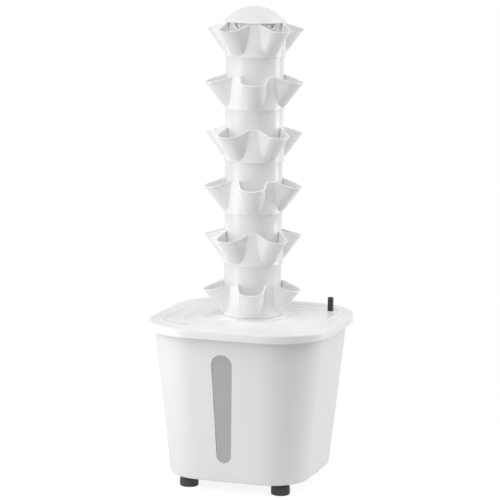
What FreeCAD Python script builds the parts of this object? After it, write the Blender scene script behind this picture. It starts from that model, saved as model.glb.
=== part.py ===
import FreeCAD, Part
import Sketcher
import math
import os

# Vertical planter tower: a tapered square water bucket on four screw feet, a wide lid with
# ripple ribs, six stacked tiers of five tilted pockets each, a domed cap over a spreader cup,
# and inside it a submersible pump, a riser pipe and a float that shows the water level.
# Millimetres, +Z up. The origin is on the floor, on the tower's axis. The front is -Y.

os.makedirs("parts", exist_ok=True)
doc = FreeCAD.newDocument("planter_tower")

# Driving dimensions: name, size, and what it is.
SIZES = [
    ("tier_count", 6, "tiers in the stack"),
    ("pocket_count", 5, "pockets round one tier"),
    ("tier_pitch", 99, "height from one tier to the next"),
    ("tower_turn", 17, "turn of the bottom tier's first pocket away from the front, degrees"),
    ("tier_wall", 2.2, "wall of a moulded tier"),
    ("neck_radius", 55, "outside of a tier's spigot neck"),
    ("neck_engagement", 27, "depth of a neck inside the tier below"),
    ("collar_radius", 58.5, "outside of the ring at the foot of a star"),
    ("collar_height", 6, "height of that ring"),
    ("hub_radius", 57.8, "outside of the star between its pockets"),
    ("hub_height", 64, "height of the star, from its collar to the valley tops"),
    ("lip_radius", 96, "reach of a pocket's lip from the axis"),
    ("lip_height", 51, "height of a pocket's lip above the collar"),
    ("pocket_foot", 56.5, "reach of a pocket's outer line at the collar"),
    ("pocket_start", 0.44, "a pocket's outside starts this far above the collar's underside"),
    ("pocket_half_top", 24, "half the outside width of a pocket at its lip"),
    ("pocket_half_foot", 20, "half the outside width of a pocket at the collar"),
    ("neck_clearance", 0.3, "radial gap between a neck and its socket"),
    ("seat_gap", 0.3, "gap under a piece that rests loosely on another"),
    ("drip_hole", 3, "radius of a drip hole"),
    ("drip_circle", 38, "radius of the circle of drip holes"),
    ("drip_count", 10, "drip holes in one floor"),
    ("centre_hole", 14, "radius of the hole for the riser in each floor"),
    ("notch_width", 2.4, "width of the index notch in a collar"),
    ("notch_height", 4, "height of the index notch"),
    ("foot_height", 24, "floor to the bucket's underside"),
    ("foot_radius", 18, "outside of a foot"),
    ("foot_pad_height", 19, "height of a foot's fluted pad"),
    ("foot_bevel", 1.5, "bevel of a foot's pad"),
    ("foot_flutes", 15, "flutes round a foot"),
    ("flute_radius", 2.6, "radius of one flute"),
    ("foot_inset", 45, "feet stand this far in from the bucket's foot along X and along Y"),
    ("stud_radius", 4, "radius of a foot's screw"),
    ("stud_length", 14.5, "length of a foot's screw above its pad"),
    ("stud_sunk", 9.5, "depth of the screw in its pad"),
    ("stud_bevel", 1, "bevel of the screw's tip"),
    ("stud_room", 3, "depth of the socket past the screw's tip"),
    ("screw_clearance", 0.1, "radial gap round a screw, pin or shaft"),
    ("bucket_height", 294, "height of the bucket"),
    ("bucket_half_foot", 137, "half the outside width of the bucket at its foot"),
    ("bucket_half_top", 166.5, "half the outside width of the bucket at its top"),
    ("bucket_corner_foot", 76, "corner radius of the bucket at its foot"),
    ("bucket_corner_top", 96, "corner radius of the bucket at its top"),
    ("bucket_wall", 3, "wall and floor of the bucket"),
    ("bucket_rim", 7, "width of the out-turned rim round the bucket's mouth"),
    ("boss_radius", 10, "radius of the blind bosses over the feet"),
    ("lid_gap", 2.5, "gap between the bucket's rim and the lid's skirt"),
    ("lid_corner_more", 4.5, "the lid's corners are this much rounder than that gap needs"),
    ("lid_skirt", 15.5, "height of the lid's edge"),
    ("lid_wall", 3, "plate and skirt of the lid"),
    ("lid_round", 3.5, "rounding of the lid's upper edge"),
    ("seat_radius", 66, "outside of the raised seat under the tower"),
    ("seat_height", 4, "height of that seat above the lid"),
    ("socket_depth", 34, "depth of the lid's socket below its seat"),
    ("rib_pitch", 34, "from one ripple rib to the next"),
    ("rib_margin", 31, "outermost ripple rib in from the lid's edge"),
    ("rib_corner", 38, "corner radius of the innermost ripple rib"),
    ("rib_corner_step", 15, "growth of the corner radius from rib to rib"),
    ("rib_width", 11, "width of a ripple rib"),
    ("rib_rise", 1.8, "height of a ripple rib"),
    ("rib_count", 3, "ripple ribs"),
    ("window_shift", -5, "window centre along X"),
    ("window_low", 62, "height of the window's lower end above the floor"),
    ("window_high", 275, "height of the window's upper end above the floor"),
    ("window_half_low", 14.5, "half the width of the window near its lower end"),
    ("window_half_high", 20.5, "half the width of the window near its upper end"),
    ("bucket_round", 4, "rounding of the bucket's lower edge"),
    ("bucket_round_steps", 3, "steps that make up that rounding"),
    ("window_gap", 0.3, "gap round the window pane in its opening"),
    ("window_flange", 5, "width of the pane's inner flange"),
    ("window_plate", 2, "thickness of that flange"),
    ("seal_plate", 1.5, "thickness of the window seal"),
    ("port_inset_x", 76, "port centre in from the lid's left edge"),
    ("port_inset_y", 57, "port centre in from the lid's front edge"),
    ("port_radius", 14.5, "outside of the port cover"),
    ("port_rise", 1.6, "height of the port cover above the lid"),
    ("port_step", 2.2, "the port cover's rim overlaps its hole by this much"),
    ("port_bevel", 0.65, "bevel of the port cover's rim"),
    ("port_plug", 6, "depth of the port cover's plug below the lid's top"),
    ("port_plug_wall", 1.5, "wall of that plug"),
    ("port_notch", 3.2, "radius of the lead notch in the port cover"),
    ("port_notch_place", 10.5, "notch centre from the port's centre"),
    ("port_notch_angle", 222, "direction of the notch from the port's centre, degrees"),
    ("gauge_inset_x", 33, "level stick in from the bucket's right wall, at the guide's foot"),
    ("gauge_inset_y", 52, "level stick in from the bucket's rear wall, at the guide's foot"),
    ("stick_radius", 5.7, "radius of the level stick"),
    ("stick_rise", 26.5, "the stick stands this far above the lid with an empty bucket"),
    ("stick_bevel", 1, "bevel of the stick's tip"),
    ("float_radius", 15, "radius of the float"),
    ("float_height", 26, "height of the float"),
    ("float_bevel", 2.5, "bevel of the float's edges"),
    ("float_travel", 50, "travel of the float"),
    ("guide_wall", 1.8, "wall of the float's guide tube"),
    ("guide_gap", 1.2, "radial gap round the float in its guide"),
    ("guide_flange", 6, "width of the guide's flange under the lid"),
    ("guide_inlet", 7.5, "radius of the hole in the guide's floor"),
    ("guide_slots", 4, "water slots round the guide"),
    ("guide_slot", 7.5, "width of a water slot"),
    ("guide_margin", 6, "the slots end this far from the guide's floor and flange"),
    ("stick_gap", 0.5, "radial gap round the stick in the lid"),
    ("float_headroom", 6, "room over the float at the top of its travel"),
    ("pump_width", 62, "pump along X"),
    ("pump_depth", 50, "pump along Y"),
    ("pump_height", 56, "height of the pump's case"),
    ("cup_height", 6, "height of the pump's suction cups"),
    ("cup_radius", 8, "radius of a suction cup"),
    ("chamber_radius", 15, "radius of the pump's impeller chamber"),
    ("chamber_depth", 13, "depth of the impeller chamber"),
    ("impeller_radius", 12.5, "radius of the impeller"),
    ("impeller_blades", 6, "blades of the impeller"),
    ("magnet_radius", 7, "radius of the impeller's magnet"),
    ("magnet_length", 20, "length of the magnet"),
    ("blade_width", 1.2, "thickness of an impeller blade"),
    ("running_gap", 1, "gap ahead of and behind the impeller"),
    ("well_gap", 0.6, "radial gap round the magnet"),
    ("shaft_radius", 1.2, "radius of the pump's shaft"),
    ("bush_radius", 3.2, "outside of a shaft bush"),
    ("bush_length", 4, "length of a shaft bush"),
    ("case_round", 5, "rounding of the pump's rear edges"),
    ("cover_round", 3.3, "rounding of the front cover's edges"),
    ("grille_count", 4, "intake slots on each side of the front cover"),
    ("grille_start", 7, "first intake slot from the impeller's axis"),
    ("grille_pitch", 5, "from one intake slot to the next"),
    ("grille_slot", 2.4, "width of an intake slot"),
    ("grille_above", 7, "reach of the slots above the impeller's axis"),
    ("grille_below", 14, "reach of the slots below the impeller's axis"),
    ("front_plate", 10, "depth of the pump's front cover"),
    ("dial_radius", 8, "radius of the flow dial"),
    ("dial_height", 5, "height of the flow dial"),
    ("dial_place", 15.5, "flow dial from the pump's middle"),
    ("dial_level", 43.7, "flow dial above the pump's foot"),
    ("stem_radius", 2.5, "radius of the dial's stem"),
    ("stem_length", 4, "length of the dial's stem"),
    ("pointer_width", 2, "width of the dial's pointer groove"),
    ("pointer_depth", 1.7, "depth of that groove"),
    ("outlet_radius", 6.5, "outside of the pump's outlet"),
    ("outlet_height", 16, "length of the pump's outlet"),
    ("outlet_wall", 1.8, "wall of the pump's outlet"),
    ("cup_inset", 12, "suction cups stand this far inside the pump's corners"),
    ("cup_taper", 20, "flare of a suction cup, degrees"),
    ("gland_radius", 4.5, "radius of the lead gland at the pump's back"),
    ("gland_length", 9, "length of that gland"),
    ("gland_level", 42, "gland above the pump's foot"),
    ("gland_taper", 6, "taper of the gland, degrees"),
    ("adapter_length", 34, "length of the adapter between the pump and the riser"),
    ("riser_radius", 10, "outside of the riser pipe"),
    ("riser_wall", 1.6, "wall of the riser pipe"),
    ("riser_count", 3, "lengths of pipe in the riser"),
    ("coupler_wall", 2, "wall of a pipe coupler"),
    ("coupler_length", 36, "length of a pipe coupler"),
    ("fit_gap", 0.05, "radial gap of the pipe in its couplers"),
    ("spreader_height", 27, "height of the spreader cup"),
    ("spreader_notch", 6.5, "radius of the spreader's round-ended notches"),
    ("spreader_sill", 16, "height of the notch bottoms above the cup's foot"),
    ("spreader_tube", 14, "height of the spreader's centre tube"),
    ("riser_drop", 4.4, "the riser ends this far below the top of that tube"),
    ("cap_radius", 59, "outside of the domed cap at its rim"),
    ("cap_height", 30, "height of the dome"),
    ("cap_wall", 2, "wall of the domed cap"),
    ("cap_rim", 4, "width of the cap's flat rim"),
    ("cap_skirt", 8, "depth of the cap's inner skirt"),
]

sheet = doc.addObject("Spreadsheet::Sheet", "sizes")
for row, (alias, size, meaning) in enumerate(SIZES, start=1):
    sheet.set("A%d" % row, alias)
    sheet.set("B%d" % row, str(size))
    sheet.set("C%d" % row, meaning)
    sheet.setAlias("B%d" % row, alias)
doc.recompute()


TRIM_REACH = 1.3  # a trimming cut reaches this many times as far as what it trims
OVERRUN = 3  # a tool runs this many walls past the face where its cut ends
EMBED = 0.3  # a raised form starts this far inside what carries it
NEAR = 1e-3  # two places this close are the same
UP = FreeCAD.Vector(0, 0, 1)

# How a sketch names its origin, the axis where a coordinate is zero, and a curve's points.
ORIGIN_POINT = (-1, 1)
ZERO_LINE = {"DistanceX": -2, "DistanceY": -1}
START, END, CENTRE = range(1, 4)


class Length:
    """A number together with the sheet expression that gives it."""

    def __init__(self, number, text):
        self.number = float(number)
        self.text = text

    def __add__(self, other):
        other = length(other)
        return Length(self.number + other.number, "(%s + %s)" % (self.text, other.text))

    def __radd__(self, other):
        return length(other) + self

    def __sub__(self, other):
        other = length(other)
        return Length(self.number - other.number, "(%s - %s)" % (self.text, other.text))

    def __rsub__(self, other):
        return length(other) - self

    def __mul__(self, other):
        other = length(other)
        return Length(self.number * other.number, "(%s * %s)" % (self.text, other.text))

    def __rmul__(self, other):
        return length(other) * self

    def __truediv__(self, other):
        other = length(other)
        return Length(self.number / other.number, "(%s / %s)" % (self.text, other.text))

    def __neg__(self):
        return Length(-self.number, "(-1 * %s)" % self.text)

    def root(self):
        return Length(math.sqrt(self.number), "sqrt(%s)" % self.text)


def length(value):
    """A plain number as a Length; a Length as it is."""
    if isinstance(value, Length):
        return value
    return Length(value, repr(float(value)))


def size(alias):
    """A driving dimension from the sheet."""
    return Length(float(sheet.get(alias)), "sizes." + alias)


def count(alias):
    """A driving count from the sheet."""
    return int(round(size(alias).number))


def bind(thing, name, value):
    """Bind a property to the sheet."""
    thing.setExpression(name, length(value).text)


def new_body(name):
    """An empty body with its label."""
    body = doc.addObject("PartDesign::Body", name)
    body.Label = name
    return body


def origin_feature(body, role):
    """One of a body's own origin planes or axes."""
    for feature in body.Origin.OriginFeatures:
        if feature.Role == role:
            return feature
    raise ValueError(role)


def new_sketch(body, name, role="XY_Plane", lift=0):
    """A sketch on an origin plane of the body, moved along its normal."""
    sketch = body.newObject("Sketcher::SketchObject", name)
    sketch.AttachmentSupport = [(origin_feature(body, role), "")]
    sketch.MapMode = "FlatFace"
    bind(sketch, "AttachmentOffset.Base.z", lift)
    return sketch


def hold(sketch, constraint, amount):
    """Add a constraint whose size is bound to the sheet."""
    index = sketch.addConstraint(constraint)
    bind(sketch, "Constraints[%d]" % index, amount)


def fix_coordinate(sketch, kind, geometry, vertex, value):
    """Hold one coordinate of a point to a size."""
    value = length(value)
    if value.number == 0 and "sizes." not in value.text:
        line = ZERO_LINE[kind]
        sketch.addConstraint(Sketcher.Constraint("PointOnObject", geometry, vertex, line))
        return
    if value.number < 0:
        ends = (geometry, vertex) + ORIGIN_POINT
        amount = -value
    else:
        ends = ORIGIN_POINT + (geometry, vertex)
        amount = value
    hold(sketch, Sketcher.Constraint(kind, *ends, amount.number), amount)


def fix_point(sketch, geometry, vertex, x, y):
    """Hold a point of the sketch to two sizes."""
    fix_coordinate(sketch, "DistanceX", geometry, vertex, x)
    fix_coordinate(sketch, "DistanceY", geometry, vertex, y)


def vector(x, y, z=0):
    return FreeCAD.Vector(length(x).number, length(y).number, length(z).number)


def add_circle(sketch, x, y, radius):
    """A circle held by its centre and radius."""
    circle = sketch.addGeometry(Part.Circle(vector(x, y), UP, radius.number), False)
    fix_point(sketch, circle, CENTRE, x, y)
    hold(sketch, Sketcher.Constraint("Radius", circle, radius.number), radius)


def add_polygon(sketch, points):
    """A closed outline of straight lines, each corner held to its sizes."""
    corners = [(length(x), length(y)) for x, y in points]
    lines = []
    for here, there in zip(corners, corners[1:] + corners[:1]):
        lines.append(sketch.addGeometry(Part.LineSegment(vector(*here), vector(*there)), False))
    for line, following in zip(lines, lines[1:] + lines[:1]):
        sketch.addConstraint(Sketcher.Constraint("Coincident", line, END, following, START))
    for line, (x, y) in zip(lines, corners):
        fix_point(sketch, line, START, x, y)


def quarter(number):
    """Unit steps of the rounded square's corner of that number."""
    return ((1, -1), (1, 1), (-1, 1), (-1, -1))[number]


def add_rounded_square(sketch, half, corner):
    """A rounded square about the origin: four sides and four tangent corner arcs."""
    reach = half - corner
    arcs = []
    for number in range(4):
        sx, sy = quarter(number)
        circle = Part.Circle(vector(sx * reach, sy * reach), UP, corner.number)
        first = math.radians(90 * number - 90)
        arcs.append(sketch.addGeometry(
            Part.ArcOfCircle(circle, first, first + math.radians(90)), False))
    sides = []
    for number in range(4):
        sx, sy = quarter(number)
        tx, ty = quarter((number + 1) % 4)
        if number % 2 == 0:
            start = vector(sx * half, sy * reach)
            end = vector(tx * half, ty * reach)
        else:
            start = vector(sx * reach, sy * half)
            end = vector(tx * reach, ty * half)
        sides.append(sketch.addGeometry(Part.LineSegment(start, end), False))
    for number in range(4):
        following = (number + 1) % 4
        sketch.addConstraint(Sketcher.Constraint(
            "Tangent", arcs[number], END, sides[number], START))
        sketch.addConstraint(Sketcher.Constraint(
            "Tangent", sides[number], END, arcs[following], START))
        kind = "Vertical" if number % 2 == 0 else "Horizontal"
        sketch.addConstraint(Sketcher.Constraint(kind, sides[number]))
    for arc in arcs[1:]:
        sketch.addConstraint(Sketcher.Constraint("Equal", arcs[0], arc))
    hold(sketch, Sketcher.Constraint("Radius", arcs[0], corner.number), corner)
    fix_point(sketch, arcs[1], CENTRE, reach, reach)
    fix_point(sketch, arcs[3], CENTRE, -reach, -reach)


def add_pocket_section(sketch, centre, half):
    """A U from the axis outwards: two parallel walls and a half round end."""
    circle = Part.Circle(vector(centre, 0), UP, half.number)
    end = sketch.addGeometry(
        Part.ArcOfCircle(circle, -math.pi / 2, math.pi / 2), False)
    upper = sketch.addGeometry(Part.LineSegment(vector(centre, half), vector(0, half)), False)
    back = sketch.addGeometry(Part.LineSegment(vector(0, half), vector(0, -half)), False)
    lower = sketch.addGeometry(Part.LineSegment(vector(0, -half), vector(centre, -half)), False)
    sketch.addConstraint(Sketcher.Constraint("Tangent", end, END, upper, START))
    sketch.addConstraint(Sketcher.Constraint("Coincident", upper, END, back, START))
    sketch.addConstraint(Sketcher.Constraint("Coincident", back, END, lower, START))
    sketch.addConstraint(Sketcher.Constraint("Tangent", lower, END, end, START))
    sketch.addConstraint(Sketcher.Constraint("Horizontal", upper))
    sketch.addConstraint(Sketcher.Constraint("Horizontal", lower))
    fix_coordinate(sketch, "DistanceX", back, START, 0)
    fix_coordinate(sketch, "DistanceX", back, END, 0)
    hold(sketch, Sketcher.Constraint("Radius", end, half.number), half)
    fix_point(sketch, end, CENTRE, centre, 0)


def turn_whole(body, name, sketch, cut=False):
    """A full turn of a finished sketch about Z: added, or cut away as a groove."""
    doc.recompute()
    kind = "PartDesign::Groove" if cut else "PartDesign::Revolution"
    turn = body.newObject(kind, name)
    turn.Profile = sketch
    turn.ReferenceAxis = (sketch, ["V_Axis"])
    turn.Angle = 360
    doc.recompute()


def revolve(body, name, points, cut=False):
    """A full turn of a straight-sided outline about Z, given as radius and height."""
    sketch = new_sketch(body, name + "_outline", "XZ_Plane")
    add_polygon(sketch, points)
    turn_whole(body, name, sketch, cut)


def extrude(body, name, sketch, depth, cut=False, reverse=False, both=False):
    """A pad of the sketch, or a pocket cut with it."""
    kind = "PartDesign::Pocket" if cut else "PartDesign::Pad"
    block = body.newObject(kind, name)
    block.Profile = sketch
    bind(block, "Length", depth)
    block.Reversed = reverse
    block.Midplane = both
    doc.recompute()
    return block


def loft(body, name, sections, cut=False):
    """A ruled loft through sketches: added, or cut away."""
    kind = "PartDesign::SubtractiveLoft" if cut else "PartDesign::AdditiveLoft"
    skin = body.newObject(kind, name)
    skin.Profile = sections[0]
    skin.Sections = sections[1:]
    skin.Ruled = True
    doc.recompute()
    return skin


def round_edges(body, name, radius, wanted):
    """A fillet on the edges whose bounding box passes a test."""
    base = body.Tip
    edges = ["Edge%d" % number for number, edge in enumerate(base.Shape.Edges, start=1)
             if wanted(edge.BoundBox)]
    fillet = body.newObject("PartDesign::Fillet", name)
    fillet.Base = (base, edges)
    bind(fillet, "Radius", radius)
    doc.recompute()


def ring_pattern(body, name, feature, copies, about="Z_Axis"):
    """Copies of a feature evenly round one of the body's axes."""
    pattern = body.newObject("PartDesign::PolarPattern", name)
    pattern.Originals = [feature]
    pattern.Axis = (origin_feature(body, about), [""])
    pattern.Angle = 360
    bind(pattern, "Occurrences", copies)
    body.Tip = pattern
    doc.recompute()


pieces = []


def finish(thing, x=0, y=0, z=0, turn=0, about=UP):
    """Put a finished piece where it stands, and count it as a node of the part."""
    thing.Placement = FreeCAD.Placement(vector(x, y, z), FreeCAD.Rotation(about, turn))
    for letter, value in zip("xyz", (x, y, z)):
        bind(thing, "Placement.Base." + letter, value)
    pieces.append(thing)


# Heights and places that several pieces share, above the floor.
bucket_bottom = size("foot_height")
lid_under = bucket_bottom + size("bucket_height")
lid_top = lid_under + size("lid_wall")
seat_top = lid_top + size("seat_height")
socket_radius = size("neck_radius") + size("neck_clearance")
lid_half = size("bucket_half_top") + size("bucket_rim") + size("lid_gap") + size("lid_wall")
lid_corner = (size("bucket_corner_top") + size("bucket_rim") + size("lid_gap")
              + size("lid_wall") + size("lid_corner_more"))
foot_place = size("bucket_half_foot") - size("foot_inset")
# A neck's foot rests on ledges this far above the collar of the tier below.
ledge_height = size("hub_height") - size("neck_engagement")
neck_length = size("tier_pitch") - ledge_height - size("seat_gap")
half_pocket = 180 / count("pocket_count")


def collar_level(number):
    """Height of the collar's underside of a tier, counted from 0 at the bottom."""
    return seat_top + size("seat_gap") + size("tier_pitch") * number


def tier_angle(number):
    """Turn of a tier about Z: every second tier stands half a pocket round."""
    return size("tower_turn").number - 90 + half_pocket * (number % 2)


top_tier = count("tier_count") - 1
top_collar = collar_level(top_tier)


def pocket_sections(body, name, start, stop, inset):
    """Two U sketches of a pocket, at two heights above the collar."""
    sections = []
    for number, level in enumerate((start, stop)):
        share = level / size("lip_height")
        tip = size("pocket_foot") + (size("lip_radius") - size("pocket_foot")) * share
        half = (size("pocket_half_foot")
                + (size("pocket_half_top") - size("pocket_half_foot")) * share)
        sketch = new_sketch(body, "%s_section_%d" % (name, number), lift=neck_length + level)
        add_pocket_section(sketch, tip - half, half - inset)
        sections.append(sketch)
    return sections


def trim_rims(body, top, high):
    """Cut the rims: they fall from the hub's top to the lips along one cone."""
    fall = (size("hub_height") - size("lip_height")) / (size("lip_radius") - size("hub_radius"))
    reach = size("lip_radius") * TRIM_REACH
    level = top - fall * (reach - size("hub_radius"))
    revolve(body, "rims", [(0, top), (size("hub_radius"), top), (reach, level), (reach, high),
                           (0, high)], cut=True)


def drill_floor(body, centre_radius):
    """The hole for the riser and the ring of drip holes in a floor that lies at the foot."""
    depth = size("tier_wall") * OVERRUN
    centre = new_sketch(body, "centre_outline")
    add_circle(centre, 0, 0, centre_radius)
    extrude(body, "centre", centre, depth, cut=True, both=True)
    drip = new_sketch(body, "drip_outline")
    add_circle(drip, size("drip_circle"), 0, size("drip_hole"))
    hole = extrude(body, "drip", drip, depth, cut=True, both=True)
    ring_pattern(body, "drips", hole, size("drip_count"))


def make_tier():
    """One moulded tier: spigot neck with a drip floor, collar, hub and tilted pockets."""
    body = new_body("tier_1")
    wall = size("tier_wall")
    neck = size("neck_radius")
    collar = neck_length + size("collar_height")
    top = neck_length + size("hub_height")
    above = size("hub_height") + wall * OVERRUN
    high = neck_length + above + wall
    revolve(body, "blank", [
        (0, 0), (neck, 0), (neck, neck_length), (size("collar_radius"), neck_length),
        (size("collar_radius"), collar), (size("hub_radius"), collar),
        (size("hub_radius"), top), (0, top)])
    outside = loft(body, "pocket_outside",
                   pocket_sections(body, "outside", size("pocket_start"), above, 0))
    ring_pattern(body, "pockets_outside", outside, size("pocket_count"))
    inside = loft(body, "pocket_inside", pocket_sections(body, "inside", wall, above, wall),
                  cut=True)
    ring_pattern(body, "pockets_inside", inside, size("pocket_count"))
    trim_rims(body, top, high)
    bore = neck - wall
    ledge = neck_length + ledge_height
    revolve(body, "bore", [(0, wall), (bore, wall), (bore, ledge), (socket_radius, ledge),
                           (socket_radius, high), (0, high)], cut=True)
    drill_floor(body, size("centre_hole"))
    notch = new_sketch(body, "notch_outline", lift=neck_length)
    valley = math.radians(half_pocket)
    add_circle(notch, size("collar_radius") * math.cos(valley),
               size("collar_radius") * math.sin(valley), size("notch_width") / 2)
    extrude(body, "notch", notch, size("notch_height"), cut=True, reverse=True)
    return body


def make_tiers():
    """All tiers, one moulding placed again and again up the stack, from the bottom."""
    tier = make_tier()
    moulding = tier.Shape.copy()
    for number in range(count("tier_count")):
        if number > 0:
            tier = doc.addObject("Part::Feature", "tier_%d" % (number + 1))
            tier.Label = tier.Name
            tier.Shape = moulding
        finish(tier, z=collar_level(number) - neck_length, turn=tier_angle(number))


def front_taper():
    """How far a side of the bucket runs outwards for each millimetre upwards."""
    return (size("bucket_half_top") - size("bucket_half_foot")) / size("bucket_height")


def front_wall(level):
    """Distance of the bucket's outer front wall from the axis, at a height above its foot."""
    return size("bucket_half_foot") + front_taper() * level


front_lean = math.degrees(math.atan(front_taper().number))
window_middle = (size("window_low") + size("window_high")) / 2 - bucket_bottom
window_reach = (size("window_high") - size("window_low")) / 2

port_x = size("port_inset_x") - lid_half
port_y = size("port_inset_y") - lid_half
float_foot = (lid_under - size("float_headroom") - size("float_travel")
              - size("float_height"))
guide_foot = float_foot - size("seat_gap") - size("guide_wall")
gauge_x = front_wall(guide_foot - bucket_bottom) - size("gauge_inset_x")
gauge_y = front_wall(guide_foot - bucket_bottom) - size("gauge_inset_y")

FOOT_CORNERS = [("front_left", -1, -1), ("front_right", 1, -1),
                ("rear_right", 1, 1), ("rear_left", -1, 1)]


def bucket_section(body, name, level, inset):
    """A level rounded square of the bucket, drawn in from its outer wall."""
    easing = (size("bucket_corner_top") - size("bucket_corner_foot")) / size("bucket_height")
    sketch = new_sketch(body, name, lift=level)
    corner = size("bucket_corner_foot") + easing * level
    add_rounded_square(sketch, front_wall(level) - inset, corner - inset)
    return sketch


def bucket_sections(body):
    """The outside of the bucket from its foot to its mouth, with a rounded lower edge."""
    steps = count("bucket_round_steps")
    sections = []
    for step in range(steps + 1):
        angle = math.pi / 2 * step / steps
        level = size("bucket_round") * (1 - math.cos(angle))
        inset = size("bucket_round") * (1 - math.sin(angle))
        sections.append(bucket_section(body, "round_outline_%d" % step, level, inset))
    sections.append(bucket_section(body, "mouth_outline", size("bucket_height"), 0))
    return sections


def make_bucket():
    """The water bucket: tapered shell with a rim, foot bosses and the window's opening."""
    body = new_body("bucket")
    wall = size("bucket_wall")
    tall = size("bucket_height")
    loft(body, "shell", bucket_sections(body))
    rim = new_sketch(body, "rim_outline", lift=tall)
    reach = size("bucket_rim")
    add_rounded_square(rim, size("bucket_half_top") + reach, size("bucket_corner_top") + reach)
    extrude(body, "rim", rim, wall, reverse=True)
    inside = [bucket_section(body, "inside_" + name, level, wall)
              for name, level in (("floor", wall), ("top", tall + wall))]
    loft(body, "inside", inside, cut=True)
    bosses = new_sketch(body, "boss_outline")
    sockets = new_sketch(body, "socket_outline")
    for corner, sx, sy in FOOT_CORNERS:
        x = sx * foot_place
        y = sy * foot_place
        add_circle(bosses, x, y, size("boss_radius"))
        add_circle(sockets, x, y, size("stud_radius") + size("screw_clearance"))
    depth = (size("foot_pad_height") + size("stud_length") + size("stud_room")
             + size("stud_bevel") - size("foot_height"))
    extrude(body, "bosses", bosses, depth + wall)
    extrude(body, "sockets", sockets, depth, cut=True, reverse=True)
    cut_window(body)
    finish(body, z=bucket_bottom)


def cut_window(body):
    """The window's opening, square to the sloping front wall."""
    opening = new_sketch(body, "window_opening", "XZ_Plane")
    lean = FreeCAD.Rotation(FreeCAD.Vector(1, 0, 0), front_lean)
    opening.AttachmentOffset = FreeCAD.Placement(FreeCAD.Vector(), lean)
    bind(opening, "AttachmentOffset.Base.x", size("window_shift"))
    bind(opening, "AttachmentOffset.Base.y", window_middle)
    bind(opening, "AttachmentOffset.Base.z", front_wall(window_middle))
    add_window_outline(opening, 0)
    extrude(body, "window", opening, size("bucket_wall") * OVERRUN * 2, cut=True, both=True)


def add_window_outline(sketch, grow):
    """An upright slot with round ends, wider at its top, grown by a margin."""
    low_radius = size("window_half_low") + grow
    high_radius = size("window_half_high") + grow
    low = size("window_half_low") - window_reach
    high = window_reach - size("window_half_high")
    slope = math.asin((high_radius - low_radius).number / (high - low).number)
    top_circle = Part.Circle(vector(0, high), UP, high_radius.number)
    foot_circle = Part.Circle(vector(0, low), UP, low_radius.number)
    top = sketch.addGeometry(Part.ArcOfCircle(top_circle, -slope, math.pi + slope), False)
    foot = sketch.addGeometry(
        Part.ArcOfCircle(foot_circle, math.pi + slope, 2 * math.pi - slope), False)

    def point(circle, angle):
        return circle.Center + FreeCAD.Vector(math.cos(angle), math.sin(angle), 0) * circle.Radius

    left = sketch.addGeometry(Part.LineSegment(
        point(top_circle, math.pi + slope), point(foot_circle, math.pi + slope)), False)
    right = sketch.addGeometry(Part.LineSegment(
        point(foot_circle, -slope), point(top_circle, -slope)), False)
    for first, second in ((top, left), (left, foot), (foot, right), (right, top)):
        sketch.addConstraint(Sketcher.Constraint("Tangent", first, END, second, START))
    for arc, level, radius in ((top, high, high_radius), (foot, low, low_radius)):
        hold(sketch, Sketcher.Constraint("Radius", arc, radius.number), radius)
        fix_point(sketch, arc, CENTRE, 0, level)


def finish_in_front_wall(body):
    """Put a window piece on the outer face of the sloping front wall."""
    finish(body, size("window_shift"), -front_wall(window_middle), window_middle + bucket_bottom,
           turn=front_lean, about=FreeCAD.Vector(1, 0, 0))


def make_window():
    """The grey window pane with its inner flange, and the seal behind the wall."""
    wall = size("bucket_wall")
    seal_back = wall + size("seal_plate")
    pane = new_body("sight_window")
    face = new_sketch(pane, "pane_outline", "XZ_Plane")
    add_window_outline(face, -size("window_gap"))
    extrude(pane, "pane", face, seal_back, reverse=True)
    flange = new_sketch(pane, "flange_outline", "XZ_Plane", lift=-seal_back)
    add_window_outline(flange, size("window_flange"))
    extrude(pane, "flange", flange, size("window_plate"), reverse=True)
    finish_in_front_wall(pane)

    seal = new_body("window_seal")
    ring = new_sketch(seal, "seal_outline", "XZ_Plane", lift=-wall)
    add_window_outline(ring, size("window_flange"))
    add_window_outline(ring, 0)
    extrude(seal, "ring", ring, size("seal_plate"), reverse=True)
    finish_in_front_wall(seal)


def make_feet():
    """Four screw feet: a fluted pad and a threaded stud each."""
    tall = size("foot_pad_height")
    radius = size("foot_radius")
    bevel = size("foot_bevel")
    socket = size("stud_radius")
    sunk = tall - size("stud_sunk")
    reach = size("stud_sunk") + size("stud_length")
    tip = size("stud_bevel")
    for corner, sx, sy in FOOT_CORNERS:
        x = sx * foot_place
        y = sy * foot_place
        pad = new_body("foot_" + corner)
        shoulder = tall - bevel * 3
        revolve(pad, "pad", [
            (0, 0), (radius - bevel, 0), (radius, bevel), (radius, shoulder),
            (radius - bevel * 2, tall), (socket, tall), (socket, sunk), (0, sunk)])
        flute = new_sketch(pad, "flute_outline")
        add_circle(flute, radius + size("flute_radius") / 2, 0, size("flute_radius"))
        groove = extrude(pad, "flute", flute, shoulder, cut=True, reverse=True)
        ring_pattern(pad, "flutes", groove, size("foot_flutes"))
        finish(pad, x, y, 0)

        stud = new_body("foot_screw_" + corner)
        revolve(stud, "screw", [
            (0, 0), (socket, 0), (socket, reach - tip), (socket - tip, reach), (0, reach)])
        finish(stud, x, y, sunk)


# The submersible pump stands on its cups. Its impeller turns about a line along Y.
pump_floor = bucket_bottom + size("bucket_wall") + size("cup_height")
pump_top = pump_floor + size("pump_height")
pump_half = size("pump_width") / 2
pump_axis = size("pump_height") / 2
chamber_half = size("chamber_depth") / 2
pump_front = -(chamber_half + size("front_plate"))
pump_rear = size("pump_depth") + pump_front
well_depth = size("chamber_depth") + size("magnet_length") + size("running_gap")


def add_block(sketch, left, right, low, high):
    """An upright rectangle."""
    add_polygon(sketch, [(left, low), (right, low), (right, high), (left, high)])


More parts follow.
